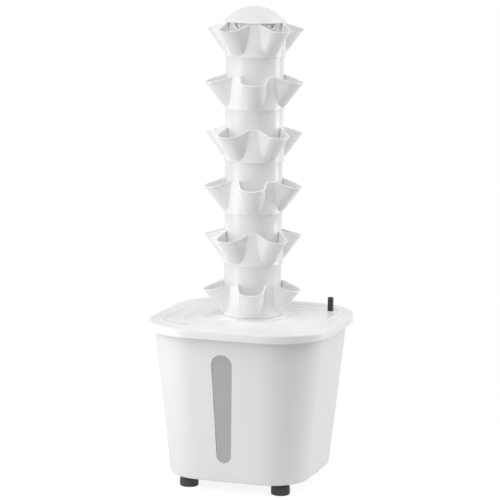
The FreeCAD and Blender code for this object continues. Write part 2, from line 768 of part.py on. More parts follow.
def add_disc(body, name, radius, start, depth, level=pump_axis, cut=False, reverse=True):
    """A round pad or hole about the impeller's axis, from a distance ahead of the XZ plane."""
    outline = new_sketch(body, name + "_outline", "XZ_Plane", lift=start)
    add_circle(outline, 0, level, radius)
    extrude(body, name, outline, depth, cut=cut, reverse=reverse)


def make_pump_case():
    """The pump's rear shell with its chamber, magnet well, bush seat and outlet."""
    tall = size("pump_height")
    case = new_body("pump_case")
    block = new_sketch(case, "case_outline", "XZ_Plane", lift=chamber_half)
    add_block(block, -pump_half, pump_half, 0, tall)
    extrude(case, "case", block, chamber_half + pump_rear, reverse=True)
    round_edges(case, "rear_rounding", size("case_round"),
                lambda box: box.YMin > pump_rear.number - NEAR)
    outlet = new_sketch(case, "outlet_outline", lift=tall)
    add_circle(outlet, 0, 0, size("outlet_radius"))
    extrude(case, "outlet", outlet, size("outlet_height"))
    for name, radius, depth in (
            ("chamber", size("chamber_radius"), size("chamber_depth")),
            ("well", size("magnet_radius") + size("well_gap"), well_depth),
            ("bush_seat", size("bush_radius"), well_depth + size("bush_length"))):
        add_disc(case, name, radius, chamber_half, depth, cut=True, reverse=False)
    throat = new_sketch(case, "throat_outline", lift=tall + size("outlet_height"))
    add_circle(throat, 0, 0, size("outlet_radius") - size("outlet_wall"))
    extrude(case, "throat", throat, size("outlet_height") + tall - pump_axis, cut=True)
    finish(case, z=pump_floor)


def make_pump_front_cover():
    """The pump's front shell with its intake slots, bush seat and the dial's hole."""
    cover = new_body("pump_front_cover")
    face = new_sketch(cover, "face_outline", "XZ_Plane", lift=-pump_front)
    add_block(face, -pump_half, pump_half, 0, size("pump_height"))
    extrude(cover, "face", face, size("front_plate"), reverse=True)
    round_edges(cover, "front_rounding", size("cover_round"),
                lambda box: box.YMax < pump_front.number + NEAR)
    add_disc(cover, "bush_seat", size("bush_radius"), chamber_half, size("bush_length"),
             cut=True, reverse=True)
    dial_hole = new_sketch(cover, "dial_outline", "XZ_Plane", lift=-pump_front)
    add_circle(dial_hole, size("dial_place"), size("dial_level"),
               size("stem_radius") + size("screw_clearance"))
    extrude(cover, "dial_hole", dial_hole, size("stem_length") + size("seat_gap"), cut=True)
    half = size("grille_slot") / 2
    for number in range(count("grille_count")):
        for name, side in (("left", -1), ("right", 1)):
            middle = side * (size("grille_start") + size("grille_pitch") * number)
            slot = new_sketch(cover, "slot_%s_%d" % (name, number + 1), "XZ_Plane",
                              lift=-pump_front)
            add_block(slot, middle - half, middle + half, pump_axis - size("grille_below"),
                      pump_axis + size("grille_above"))
            extrude(cover, slot.Name + "_cut", slot, size("front_plate") * 2, cut=True)
    finish(cover, z=pump_floor)


def make_pump_rotor():
    """The fixed shaft, its two bushes, and the impeller with its magnet."""
    bush = size("bush_length")
    shaft = new_body("pump_shaft")
    add_disc(shaft, "pin", size("shaft_radius"), chamber_half + bush, bush + well_depth + bush)
    finish(shaft, z=pump_floor)

    bushes = new_body("pump_shaft_bushes")
    rings = {"front": chamber_half + bush, "rear": chamber_half - well_depth}
    for name, start in rings.items():
        outline = new_sketch(bushes, name + "_outline", "XZ_Plane", lift=start)
        add_circle(outline, 0, pump_axis, size("bush_radius"))
        add_circle(outline, 0, pump_axis, size("shaft_radius"))
        extrude(bushes, name, outline, bush, reverse=True)
    finish(bushes, z=pump_floor)

    rotor = new_body("pump_impeller")
    start = chamber_half - size("running_gap")
    add_disc(rotor, "hub", size("magnet_radius"), start, well_depth - size("running_gap") * 2,
             level=0)
    blade = new_sketch(rotor, "blade_outline", "XZ_Plane", lift=start)
    thin = size("blade_width") / 2
    add_block(blade, 0, size("impeller_radius"), -thin, thin)
    vane = extrude(rotor, "blade", blade, size("chamber_depth") - size("running_gap") * 2,
                   reverse=True)
    ring_pattern(rotor, "blades", vane, size("impeller_blades"), about="Y_Axis")
    eye = new_sketch(rotor, "eye_outline", "XZ_Plane", lift=chamber_half)
    add_circle(eye, 0, 0, size("shaft_radius") + size("screw_clearance"))
    extrude(rotor, "eye", eye, size("pump_depth"), cut=True)
    finish(rotor, z=pump_floor + pump_axis)


def make_pump_fittings():
    """What is fitted to the pump from outside: flow dial, suction cups and lead gland."""
    dial = new_body("pump_flow_dial")
    knob = new_sketch(dial, "knob_outline", "XZ_Plane")
    add_circle(knob, 0, 0, size("dial_radius"))
    extrude(dial, "knob", knob, size("dial_height"))
    stem = new_sketch(dial, "stem_outline", "XZ_Plane")
    add_circle(stem, 0, 0, size("stem_radius"))
    extrude(dial, "stem", stem, size("stem_length"), reverse=True)
    pointer = new_sketch(dial, "pointer_outline", "XZ_Plane", lift=size("dial_height"))
    grip = size("pointer_width") / 2
    add_block(pointer, -grip, grip, grip, size("dial_radius") * TRIM_REACH)
    extrude(dial, "pointer", pointer, size("pointer_depth"), cut=True)
    finish(dial, size("dial_place"), pump_front, pump_floor + size("dial_level"))

    cups = new_body("pump_suction_cups")
    rings = new_sketch(cups, "cup_outline")
    inset = size("cup_inset")
    for x in (inset - pump_half, pump_half - inset):
        for y in (pump_front + inset, pump_rear - inset):
            add_circle(rings, x, y, size("cup_radius"))
    cup = extrude(cups, "cups", rings, size("cup_height"))
    bind(cup, "TaperAngle", -size("cup_taper"))
    finish(cups, z=bucket_bottom + size("bucket_wall"))

    gland = new_body("pump_lead_gland")
    bush = new_sketch(gland, "bush_outline", "XZ_Plane", lift=-pump_rear)
    add_circle(bush, 0, 0, size("gland_radius"))
    boot = extrude(gland, "bush", bush, size("gland_length"), reverse=True)
    bind(boot, "TaperAngle", -size("gland_taper"))
    finish(gland, z=pump_floor + size("gland_level"))


riser_foot = pump_top + size("outlet_height")
spreader_foot = top_collar + ledge_height + size("seat_gap")
riser_end = spreader_foot + size("spreader_tube") - size("riser_drop")
riser_joints = count("riser_count") - 1
riser_length = (riser_end - riser_foot - size("seat_gap") * riser_joints) / size("riser_count")


def make_riser():
    """The riser: adapter on the pump's outlet, equal lengths of pipe, couplers between them."""
    outside = size("riser_radius")
    wall = size("coupler_wall")
    bore = outside + size("fit_gap")
    stub = size("outlet_radius") + size("fit_gap")
    step = size("outlet_height") - size("seat_gap")
    adapter = new_body("riser_adapter")
    revolve(adapter, "sleeve", [
        (stub, 0), (stub + wall, 0), (bore + wall, step - wall),
        (bore + wall, size("adapter_length")), (bore, size("adapter_length")), (bore, step),
        (stub, step)])
    finish(adapter, z=pump_top + size("seat_gap"))
    for number in range(count("riser_count")):
        start = riser_foot + (riser_length + size("seat_gap")) * number
        inside = outside - size("riser_wall")
        pipe = new_body("riser_pipe_%d" % (number + 1))
        revolve(pipe, "pipe", [
            (inside, 0), (outside, 0), (outside, riser_length), (inside, riser_length)])
        finish(pipe, z=start)
        if number == 0:
            continue
        coupler = new_body("riser_coupler_%d" % number)
        end = size("coupler_length")
        revolve(coupler, "sleeve", [(bore, 0), (bore + wall, 0), (bore + wall, end), (bore, end)])
        finish(coupler, z=start - end / 2)


def add_hump(sketch, middle, level, width, rise):
    """A low rounded hump: an arc over its chord."""
    half = width / 2
    radius = (half * half + rise * rise) / (2 * rise)
    centre = level + rise - radius
    spread = math.asin(half.number / radius.number)
    circle = Part.Circle(vector(middle, centre), UP, radius.number)
    arc = sketch.addGeometry(Part.ArcOfCircle(
        circle, math.pi / 2 - spread, math.pi / 2 + spread), False)
    chord = sketch.addGeometry(Part.LineSegment(
        vector(middle - half, level), vector(middle + half, level)), False)
    sketch.addConstraint(Sketcher.Constraint("Coincident", arc, END, chord, START))
    sketch.addConstraint(Sketcher.Constraint("Coincident", chord, END, arc, START))
    fix_point(sketch, chord, START, middle - half, level)
    fix_point(sketch, chord, END, middle + half, level)
    hold(sketch, Sketcher.Constraint("Radius", arc, radius.number), radius)


def add_ribs(body, top):
    """The ripple ribs: rounded squares, one round the other, swept as low humps."""
    level = top - EMBED
    innermost = lid_half - size("rib_margin") - size("rib_pitch") * (count("rib_count") - 1)
    for number in range(count("rib_count")):
        half = innermost + size("rib_pitch") * number
        path = new_sketch(body, "rib_path_%d" % (number + 1), lift=level)
        add_rounded_square(path, half, size("rib_corner") + size("rib_corner_step") * number)
        profile = new_sketch(body, "rib_profile_%d" % (number + 1), "XZ_Plane")
        add_hump(profile, half, level, size("rib_width"), size("rib_rise") + EMBED)
        rib = body.newObject("PartDesign::AdditivePipe", "rib_%d" % (number + 1))
        rib.Profile = profile
        rib.Spine = path
        doc.recompute()


def make_lid():
    """The lid: skirted plate, ripple ribs, seat and socket for the tower, port and stick hole."""
    body = new_body("lid")
    wall = size("lid_wall")
    top = size("lid_skirt")
    under = top - wall
    plate = new_sketch(body, "plate_outline")
    add_rounded_square(plate, lid_half, lid_corner)
    extrude(body, "plate", plate, top)
    round_edges(body, "edge_rounding", size("lid_round"),
                lambda box: box.ZMin > top.number - NEAR)
    hollow = new_sketch(body, "hollow_outline")
    add_rounded_square(hollow, lid_half - wall, lid_corner - wall)
    extrude(body, "hollow", hollow, under, cut=True, reverse=True)
    seat = new_sketch(body, "seat_outline", lift=under)
    add_circle(seat, 0, 0, size("seat_radius"))
    extrude(body, "seat", seat, wall + size("seat_height"))
    socket = new_sketch(body, "socket_outline", lift=under + EMBED)
    add_circle(socket, 0, 0, socket_radius + wall)
    extrude(body, "socket", socket, size("socket_depth") - size("seat_height") - wall + EMBED,
            reverse=True)
    add_ribs(body, top)
    bore = new_sketch(body, "bore_outline", lift=top + size("seat_height"))
    add_circle(bore, 0, 0, socket_radius)
    extrude(body, "bore", bore, size("socket_depth") + wall, cut=True)
    holes = new_sketch(body, "holes_outline", lift=top)
    add_circle(holes, port_x, port_y, size("port_radius") - size("port_step"))
    add_circle(holes, gauge_x, gauge_y, size("stick_radius") + size("stick_gap"))
    extrude(body, "holes", holes, wall * OVERRUN, cut=True)
    finish(body, z=lid_top - top)


def make_port_cover():
    """The round cover of the lid's port, with a notch for the pump's lead."""
    body = new_body("port_cover")
    plug = size("port_plug")
    high = plug + size("port_rise")
    bevel = size("port_bevel")
    rim = size("port_radius")
    inner = rim - size("port_step") - size("neck_clearance")
    hollow = inner - size("port_plug_wall")
    revolve(body, "cover", [
        (hollow, 0), (inner, 0), (inner, plug), (rim, plug), (rim, high - bevel),
        (rim - bevel, high), (0, high), (0, plug), (hollow, plug)])
    angle = math.radians(size("port_notch_angle").number)
    notch = new_sketch(body, "notch_outline")
    add_circle(notch, size("port_notch_place") * math.cos(angle),
               size("port_notch_place") * math.sin(angle), size("port_notch"))
    extrude(body, "notch", notch, high * 2, cut=True, reverse=True)
    finish(body, port_x, port_y, lid_top - plug)


def make_gauge():
    """The water gauge: the guide tube under the lid, and a float on its stick."""
    wall = size("guide_wall")
    inner = size("float_radius") + size("guide_gap")
    outer = inner + wall
    flange = outer + size("guide_flange")
    inlet = size("guide_inlet")
    tall = lid_under - guide_foot
    guide = new_body("float_guide")
    revolve(guide, "tube", [
        (inlet, 0), (outer, 0), (outer, tall - wall), (flange, tall - wall), (flange, tall),
        (inner, tall), (inner, wall), (inlet, wall)])
    slot = new_sketch(guide, "slot_outline", "XZ_Plane")
    half = size("guide_slot") / 2
    margin = wall + size("guide_margin")
    add_block(slot, -half, half, margin, tall - margin)
    cut = extrude(guide, "slot", slot, outer + wall, cut=True, reverse=True)
    ring_pattern(guide, "slots", cut, size("guide_slots"))
    finish(guide, gauge_x, gauge_y, guide_foot)

    radius = size("stick_radius")
    tip = size("stick_bevel")
    reach = lid_top + size("stick_rise") - float_foot
    stick = new_body("level_stick")
    revolve(stick, "stick", [
        (0, 0), (radius, 0), (radius, reach - tip), (radius - tip, reach), (0, reach)])
    finish(stick, gauge_x, gauge_y, float_foot)

    outside = size("float_radius")
    edge = size("float_bevel")
    high = size("float_height")
    drum = new_body("level_float")
    revolve(drum, "drum", [
        (radius, 0), (outside - edge, 0), (outside, edge), (outside, high - edge),
        (outside - edge, high), (radius, high)])
    finish(drum, gauge_x, gauge_y, float_foot)


def make_spreader():
    """The cup at the top of the tower that spreads the water to the pockets."""
    body = new_body("spreader_cup")
    wall = size("tier_wall")
    outer = size("neck_radius")
    bore = size("riser_radius") + size("neck_clearance")
    tube = bore + wall
    tall = size("spreader_height")
    revolve(body, "cup", [
        (0, 0), (outer, 0), (outer, tall), (outer - wall, tall), (outer - wall, wall),
        (tube, wall), (tube, size("spreader_tube")), (0, size("spreader_tube"))])
    hole = new_sketch(body, "bore_outline")
    add_circle(hole, 0, 0, bore)
    extrude(body, "bore", hole, tall, cut=True, reverse=True)
    radius = size("spreader_notch")
    middle = size("spreader_sill") + radius
    notch = new_sketch(body, "notch_outline", "YZ_Plane")
    add_circle(notch, 0, middle, radius)
    cut = extrude(body, "notch", notch, outer + wall, cut=True, reverse=True)
    ring_pattern(body, "notches", cut, size("pocket_count"))
    mouth = new_sketch(body, "mouth_outline", "YZ_Plane")
    add_block(mouth, -radius, radius, middle, tall + wall)
    slot = extrude(body, "mouth", mouth, outer + wall, cut=True, reverse=True)
    ring_pattern(body, "mouths", slot, size("pocket_count"))
    drip = new_sketch(body, "drip_outline")
    add_circle(drip, size("drip_circle"), 0, size("drip_hole"))
    drop = extrude(body, "drip", drip, wall * OVERRUN, cut=True, both=True)
    ring_pattern(body, "drips", drop, size("drip_count"))
    finish(body, z=spreader_foot, turn=tier_angle(top_tier))


def add_dome(sketch, reach, tall, sphere):
    """Half a dome's section: base line, axis line and the arc over them."""
    low = tall - sphere
    rim = math.atan2(-low.number, reach.number)
    circle = Part.Circle(vector(0, low), UP, sphere.number)
    arc = sketch.addGeometry(Part.ArcOfCircle(circle, rim, math.pi / 2), False)
    upright = sketch.addGeometry(Part.LineSegment(vector(0, tall), vector(0, 0)), False)
    base = sketch.addGeometry(Part.LineSegment(vector(0, 0), vector(reach, 0)), False)
    sketch.addConstraint(Sketcher.Constraint("Coincident", arc, END, upright, START))
    sketch.addConstraint(Sketcher.Constraint("Coincident", upright, END, base, START))
    sketch.addConstraint(Sketcher.Constraint("Coincident", base, END, arc, START))
    fix_coordinate(sketch, "DistanceX", arc, CENTRE, 0)
    fix_point(sketch, upright, START, 0, tall)
    fix_point(sketch, base, START, 0, 0)
    fix_point(sketch, base, END, reach, 0)


def make_cap():
    """The domed cap with an inner skirt that sits in the spreader cup."""
    body = new_body("top_cap")
    wall = size("cap_wall")
    tall = size("cap_height")
    reach = size("cap_radius")
    sphere = (reach * reach + tall * tall) / (2 * tall)
    dome = new_sketch(body, "dome_outline", "XZ_Plane")
    add_dome(dome, reach, tall, sphere)
    turn_whole(body, "dome", dome)
    inner_reach = reach - size("cap_rim")
    inner_tall = tall - wall
    inner_sphere = (inner_reach * inner_reach + inner_tall * inner_tall) / (2 * inner_tall)
    hollow = new_sketch(body, "hollow_outline", "XZ_Plane")
    add_dome(hollow, inner_reach, inner_tall, inner_sphere)
    turn_whole(body, "hollow", hollow, cut=True)
    skirt = size("neck_radius") - size("tier_wall") - size("neck_clearance")
    ring = skirt - wall
    under_dome = (inner_sphere * inner_sphere - ring * ring).root() - inner_sphere + inner_tall
    head = under_dome + EMBED
    foot = -size("cap_skirt")
    revolve(body, "skirt", [(ring, foot), (skirt, foot), (skirt, head), (ring, head)])
    finish(body, z=top_collar + size("hub_height") + size("seat_gap"))


make_bucket()
make_window()
make_feet()
make_pump_case()
make_pump_front_cover()
make_pump_rotor()
make_pump_fittings()
make_riser()
make_lid()
make_port_cover()
make_gauge()
make_tiers()
make_spreader()
make_cap()
doc.recompute()

for thing in doc.Objects:
    if "Invalid" in thing.State or "Error" in thing.State:
        raise RuntimeError("%s is %s" % (thing.Name, thing.State))
    if thing.isDerivedFrom("PartDesign::Feature") and not thing.Shape.isValid():
        raise RuntimeError("%s has no valid shape" % thing.Name)
for piece in pieces:
    if piece.Shape.isNull() or not piece.Shape.isValid():
        raise RuntimeError(piece.Label + " has no valid shape")
    print(piece.Label, len(piece.Shape.Solids), round(piece.Shape.Volume))
for piece in pieces:
    piece.Shape.exportStep("parts/%s.step" % piece.Label)
print(len(pieces), "nodes")
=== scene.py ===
import math

import bpy
from bpy.props import FloatProperty, FloatVectorProperty, IntProperty, PointerProperty
from mathutils import Matrix, Vector


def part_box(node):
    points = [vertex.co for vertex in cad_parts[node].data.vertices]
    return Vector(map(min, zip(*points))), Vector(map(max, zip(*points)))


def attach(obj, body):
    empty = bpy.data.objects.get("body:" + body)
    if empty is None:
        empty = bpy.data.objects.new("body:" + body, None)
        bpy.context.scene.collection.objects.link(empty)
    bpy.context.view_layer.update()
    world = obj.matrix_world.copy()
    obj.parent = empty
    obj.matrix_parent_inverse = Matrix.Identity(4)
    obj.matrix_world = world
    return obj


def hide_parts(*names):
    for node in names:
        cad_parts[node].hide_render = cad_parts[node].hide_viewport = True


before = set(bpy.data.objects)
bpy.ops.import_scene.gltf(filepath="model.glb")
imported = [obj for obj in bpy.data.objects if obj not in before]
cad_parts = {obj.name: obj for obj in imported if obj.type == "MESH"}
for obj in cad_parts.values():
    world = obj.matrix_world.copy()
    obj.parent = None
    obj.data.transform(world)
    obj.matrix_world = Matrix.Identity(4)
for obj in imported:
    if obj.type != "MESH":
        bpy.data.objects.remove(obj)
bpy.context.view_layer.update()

bl_info = {
    "name": "Vertical planter tower",
    "version": (1, 0, 0),
    "blender": (4, 5, 0),
    "location": "3D View > Sidebar > Planter",
    "description": "Dresses the planter tower's frame with its mouldings, fittings and finishes",
    "category": "Object",
}

MM = 0.001
TIER_NAMES = ["tier_%d" % number for number in range(1, 7)]

# Points nearer than this are one point: on a new shell, and on a copy of a frame node
SHELL_MERGE = 2e-6
FRAME_MERGE = 1e-5
# Faces that meet at less than this are shaded smooth
SHELL_CREASE = math.radians(40)
TUBE_CREASE = math.radians(60)
FRAME_CREASE = math.radians(35)
# The middle of a rounded edge lies this share of its radius inside either face
ROUND_MIDDLE = 0.3
# Steps that a tier's rows take up its wall, over its rim, down its mouth and down its well
WALL_STEPS, RIM_STEPS, MOUTH_STEPS, WELL_STEPS = 24, 9, 8, 9
# The band's middle row and the first row inside lie this share of its height below the rim
BAND_MIDDLE = 0.55
# The pockets' inside ends this many walls above the collar's underside
WELL_END = 1.8
# On the collar's top, the hub starts this share of an edge further out than its foot
HUB_START = 0.2
# A rim's roll: where it starts and how far it turns, in degrees from outwards over upwards
ROLL_START, ROLL_TURN = -40, 250
# How round the rim is on the hub, where 1 is a circle and less is squarer
HUB_ROUNDNESS = 0.4
# A proud rim's radius grows by this share of its bead
BEAD_GROWTH = 0.6
# Sides of a drilled hole, the cap, a notch's bead and the floor
DRILL_SIDES, CAP_SIDES, BEAD_SIDES, FLOOR_SIDES = 24, 128, 12, 96
# Where the lamps light the floor at this level, the camera sees it as white
WHITE_LEVEL = 0.5
BUMP_STRENGTH = 0.6

# Each finish: its name, its node group, the depth of its relief in mm, its colour as the name of
# a setting or a level of grey, and the group's other values
FINISHES = {
    "white_moulding": ("glossy white moulding", "skin", 0.04, "white", {"Roughness": 0.24}),
    "lid": ("satin white lid", "skin", 0.04, "white", {"Roughness": 0.32}),
    "bucket_white": ("satin white bucket", "skin", 0.06, "bucket",
                     {"Roughness": 0.45, "Grain": 0.6, "Grain Scale": 1100.0}),
    "window_grey": ("smoked window pane", "skin", 0.02, "window",
                    {"Roughness": 0.32, "Tone Drift": 0.05}),
    "seal_black": ("rubber seal", "skin", 0.06, 0.03, {"Roughness": 0.6, "Grain": 0.8}),
    "foot_charcoal": ("charcoal foot moulding", "skin", 0.08, "charcoal",
                      {"Roughness": 0.5, "Grain": 0.7, "Tone Drift": 0.1}),
    "zinc_steel": ("zinc plated steel", "metal", 0.02, "steel", {"Roughness": 0.32}),
    "gauge_black": ("black level stick", "skin", 0.04, "black",
                    {"Roughness": 0.45, "Tone Drift": 0.1}),
    "float_foam": ("white float foam", "foam", 0.15, 0.78, {}),
    "pump_black": ("black pump moulding", "skin", 0.06, "black",
                   {"Roughness": 0.4, "Grain": 0.7, "Tone Drift": 0.1}),
    "ceramic_shaft": ("ceramic shaft", "skin", 0.01, 0.8, {"Roughness": 0.2}),
    "impeller_blue": ("blue impeller", "skin", 0.03, "blue", {"Roughness": 0.35}),
    "dial_orange": ("orange dial", "skin", 0.03, "orange", {"Roughness": 0.4}),
    "pipe_white": ("white pipe", "skin", 0.02, 0.8, {"Roughness": 0.3}),
}

# Each lamp: its bearing, which is 0 at the camera, and its elevation, in degrees, then its
# distance, its width and height, and the height that it aims at, in metres
LAMPS = {
    "front": (-15, 30, 3.0, (2.0, 2.0), 0.5),
    "high": (-15, 62, 3.0, (2.4, 1.4), 0.5),
    "side": (-60, 10, 2.0, (1.2, 1.6), 0.5),
    "left": (-110, 20, 2.0, (1.4, 1.8), 0.5),
    "near": (-60, 4, 0.65, (0.3, 0.4), 0.2),
    "tall": (-70, 0, 0.75, (0.3, 1.4), 0.5),
    "strip": (105, 3, 1.8, (0.7, 2.0), 0.5),
    "right": (90, 40, 2.2, (1.6, 1.6), 0.5),
}


class PlanterTier(bpy.types.PropertyGroup):
    """Sizes of a tier's moulding; its collar's underside is level 0."""

    pocket_count: IntProperty(name="Pockets", description="Pockets round one tier", default=5)
    wall: FloatProperty(
        name="Wall", description="Wall of the moulding", unit="LENGTH", default=2.2 * MM)
    neck_radius: FloatProperty(
        name="Neck", description="Outside of the spigot neck", unit="LENGTH", default=55 * MM)
    collar_radius: FloatProperty(
        name="Collar", description="Outside of the collar", unit="LENGTH", default=57.2 * MM)
    collar_height: FloatProperty(
        name="Collar height", description="Height of the collar", unit="LENGTH", default=6 * MM)
    hub_radius: FloatProperty(
        name="Hub", description="Outside between the pockets", unit="LENGTH", default=57.8 * MM)
    hub_foot: FloatProperty(
        name="Hub foot", description="Outside between the pockets, at the collar",
        unit="LENGTH", default=57.1 * MM)
    hub_height: FloatProperty(
        name="Hub height", description="Collar's underside to the valleys' rims", unit="LENGTH",
        default=64 * MM)
    lip_radius: FloatProperty(
        name="Lip reach", description="Reach of a pocket's lip", unit="LENGTH", default=96 * MM)
    lip_height: FloatProperty(
        name="Lip height", description="Height of a lip over the collar's underside",
        unit="LENGTH", default=51 * MM)
    pocket_foot: FloatProperty(
        name="Pocket foot", description="Reach of a pocket at the collar's underside",
        unit="LENGTH", default=56.5 * MM)
    foot_draw: FloatProperty(
        name="Foot draw", description="How far a pocket's round foot draws in at its lowest",
        unit="LENGTH", default=4.5 * MM)
    foot_rise: FloatProperty(
        name="Foot rise", description="Height over which a pocket's foot is round",
        unit="LENGTH", default=14 * MM)
    half_top: FloatProperty(
        name="Half width at the lip", description="Half a pocket's width at the hub, lip high",
        unit="LENGTH", default=25.5 * MM)
    half_foot: FloatProperty(
        name="Half width at the foot", description="Half a pocket's width at its foot",
        unit="LENGTH", default=17 * MM)
    flare: FloatProperty(
        name="Flare", description="How much a pocket's flanks spread towards the hub at the lip",
        subtype="ANGLE", default=math.radians(5))
    socket_gap: FloatProperty(
        name="Socket gap", description="Gap round the neck of the tier above", unit="LENGTH",
        default=0.3 * MM)
    ledge_height: FloatProperty(
        name="Ledge", description="Height of the ledges that carry the neck above",
        unit="LENGTH", default=37 * MM)
    neck_foot: FloatProperty(
        name="Neck foot", description="Collar's underside down to the neck's foot",
        unit="LENGTH", default=61.7 * MM)
    centre_hole: FloatProperty(
        name="Centre hole", description="Radius of the floor's hole for the riser",
        unit="LENGTH", default=14 * MM)
    drip_hole: FloatProperty(
        name="Drip hole", description="Radius of a drip hole", unit="LENGTH", default=3 * MM)
    drip_circle: FloatProperty(
        name="Drip circle", description="Radius of the ring of drip holes", unit="LENGTH",
        default=38 * MM)
    drip_count: IntProperty(name="Drip holes", description="Drip holes in a floor", default=10)
    notch_radius: FloatProperty(
        name="Index notch", description="Radius of the notch in the collar", unit="LENGTH",
        default=1.2 * MM)
    notch_height: FloatProperty(
        name="Notch height", description="Height of the notch in the collar", unit="LENGTH",
        default=4 * MM)
    fillet: FloatProperty(
        name="Fillet", description="Radius where a pocket's side meets the hub", unit="LENGTH",
        default=2.6 * MM)
    bead: FloatProperty(
        name="Rim bead", description="The rolled rim stands proud by this much", unit="LENGTH",
        default=0.3 * MM)
    band: FloatProperty(
        name="Lip band", description="The band under the rim stands proud by this much",
        unit="LENGTH", default=0.35 * MM)
    band_height: FloatProperty(
        name="Band height", description="Height of the band under the rim", unit="LENGTH",
        default=5.5 * MM)
    edge: FloatProperty(
        name="Edge", description="Rounding of the moulded edges", unit="LENGTH",
        default=0.6 * MM)
    first_pocket: FloatProperty(
        name="First pocket", description="Direction of the bottom tier's first pocket",
        subtype="ANGLE", default=math.radians(-73))


class PlanterTop(bpy.types.PropertyGroup):
    """Sizes of the cap and of the spreader's notches under it."""

    cap_radius: FloatProperty(
        name="Cap", description="Outside of the cap", unit="LENGTH", default=59 * MM)
    cap_height: FloatProperty(
        name="Dome", description="Height of the cap's dome", unit="LENGTH", default=30 * MM)
    cap_wall: FloatProperty(
        name="Cap wall", description="Wall of the cap", unit="LENGTH", default=2 * MM)
    cap_edge: FloatProperty(
        name="Cap edge", description="Rounding of the cap's rim", unit="LENGTH",
        default=1.1 * MM)
    skirt_radius: FloatProperty(
        name="Skirt", description="Outside of the cap's inner skirt", unit="LENGTH",
        default=52.5 * MM)
    notch_radius: FloatProperty(
        name="Notch", description="Radius of the spreader's notches", unit="LENGTH",
        default=6.5 * MM)
    notch_drop: FloatProperty(
        name="Notch drop", description="Spreader's rim down to the middle of a notch's curve",
        unit="LENGTH", default=4.5 * MM)
    loop_thickness: FloatProperty(
        name="Notch rim", description="Radius of the bead round a notch", unit="LENGTH",
        default=2.2 * MM)


class PlanterLid(bpy.types.PropertyGroup):
    """Sizes of the lid's ripple ribs."""

    plate_top: FloatProperty(
        name="Plate top", description="Level of the plate between the ribs", unit="LENGTH",
        default=321 * MM)
    rib_width: FloatProperty(
        name="Rib width", description="Width of a rib at its foot", unit="LENGTH",
        default=11 * MM)
    frame_rise: FloatProperty(
        name="Frame's rib", description="Height of the frame's plain round ribs", unit="LENGTH",
        default=1.8 * MM)
    rib_rise: FloatProperty(
        name="Rib height", description="Height of a rib's soft wave", unit="LENGTH",
        default=1.6 * MM)


class PlanterWindow(bpy.types.PropertyGroup):
    """The sight window's pane."""

    pane_depth: FloatProperty(
        name="Recess", description="The pane's face lies this far behind the bucket's front",
        unit="LENGTH", default=1.0 * MM)


class PlanterColours(bpy.types.PropertyGroup):
    """The colours of the mouldings and fittings."""

    white: FloatVectorProperty(
        name="White mouldings", description="Tiers, lid and cap", subtype="COLOR", size=4,
        default=(0.91, 0.91, 0.91, 1), min=0, max=1)
    bucket: FloatVectorProperty(
        name="Bucket", description="The water bucket", subtype="COLOR", size=4,
        default=(0.87, 0.87, 0.87, 1), min=0, max=1)
    window: FloatVectorProperty(
        name="Window", description="The sight window's pane", subtype="COLOR", size=4,
        default=(0.46, 0.46, 0.46, 1), min=0, max=1)
    charcoal: FloatVectorProperty(
        name="Feet", description="The screw feet", subtype="COLOR", size=4,
        default=(0.05, 0.05, 0.05, 1), min=0, max=1)
    black: FloatVectorProperty(
        name="Black", description="The pump's case and the level stick", subtype="COLOR",
        size=4, default=(0.028, 0.028, 0.029, 1), min=0, max=1)
    blue: FloatVectorProperty(
        name="Impeller", description="The pump's impeller", subtype="COLOR", size=4,
        default=(0.03, 0.12, 0.35, 1), min=0, max=1)
    orange: FloatVectorProperty(
        name="Dial", description="The pump's flow dial", subtype="COLOR", size=4,
        default=(0.8, 0.2, 0.02, 1), min=0, max=1)
    steel: FloatVectorProperty(
        name="Zinc", description="Plated screws", subtype="COLOR", size=4,
        default=(0.62, 0.62, 0.6, 1), min=0, max=1)


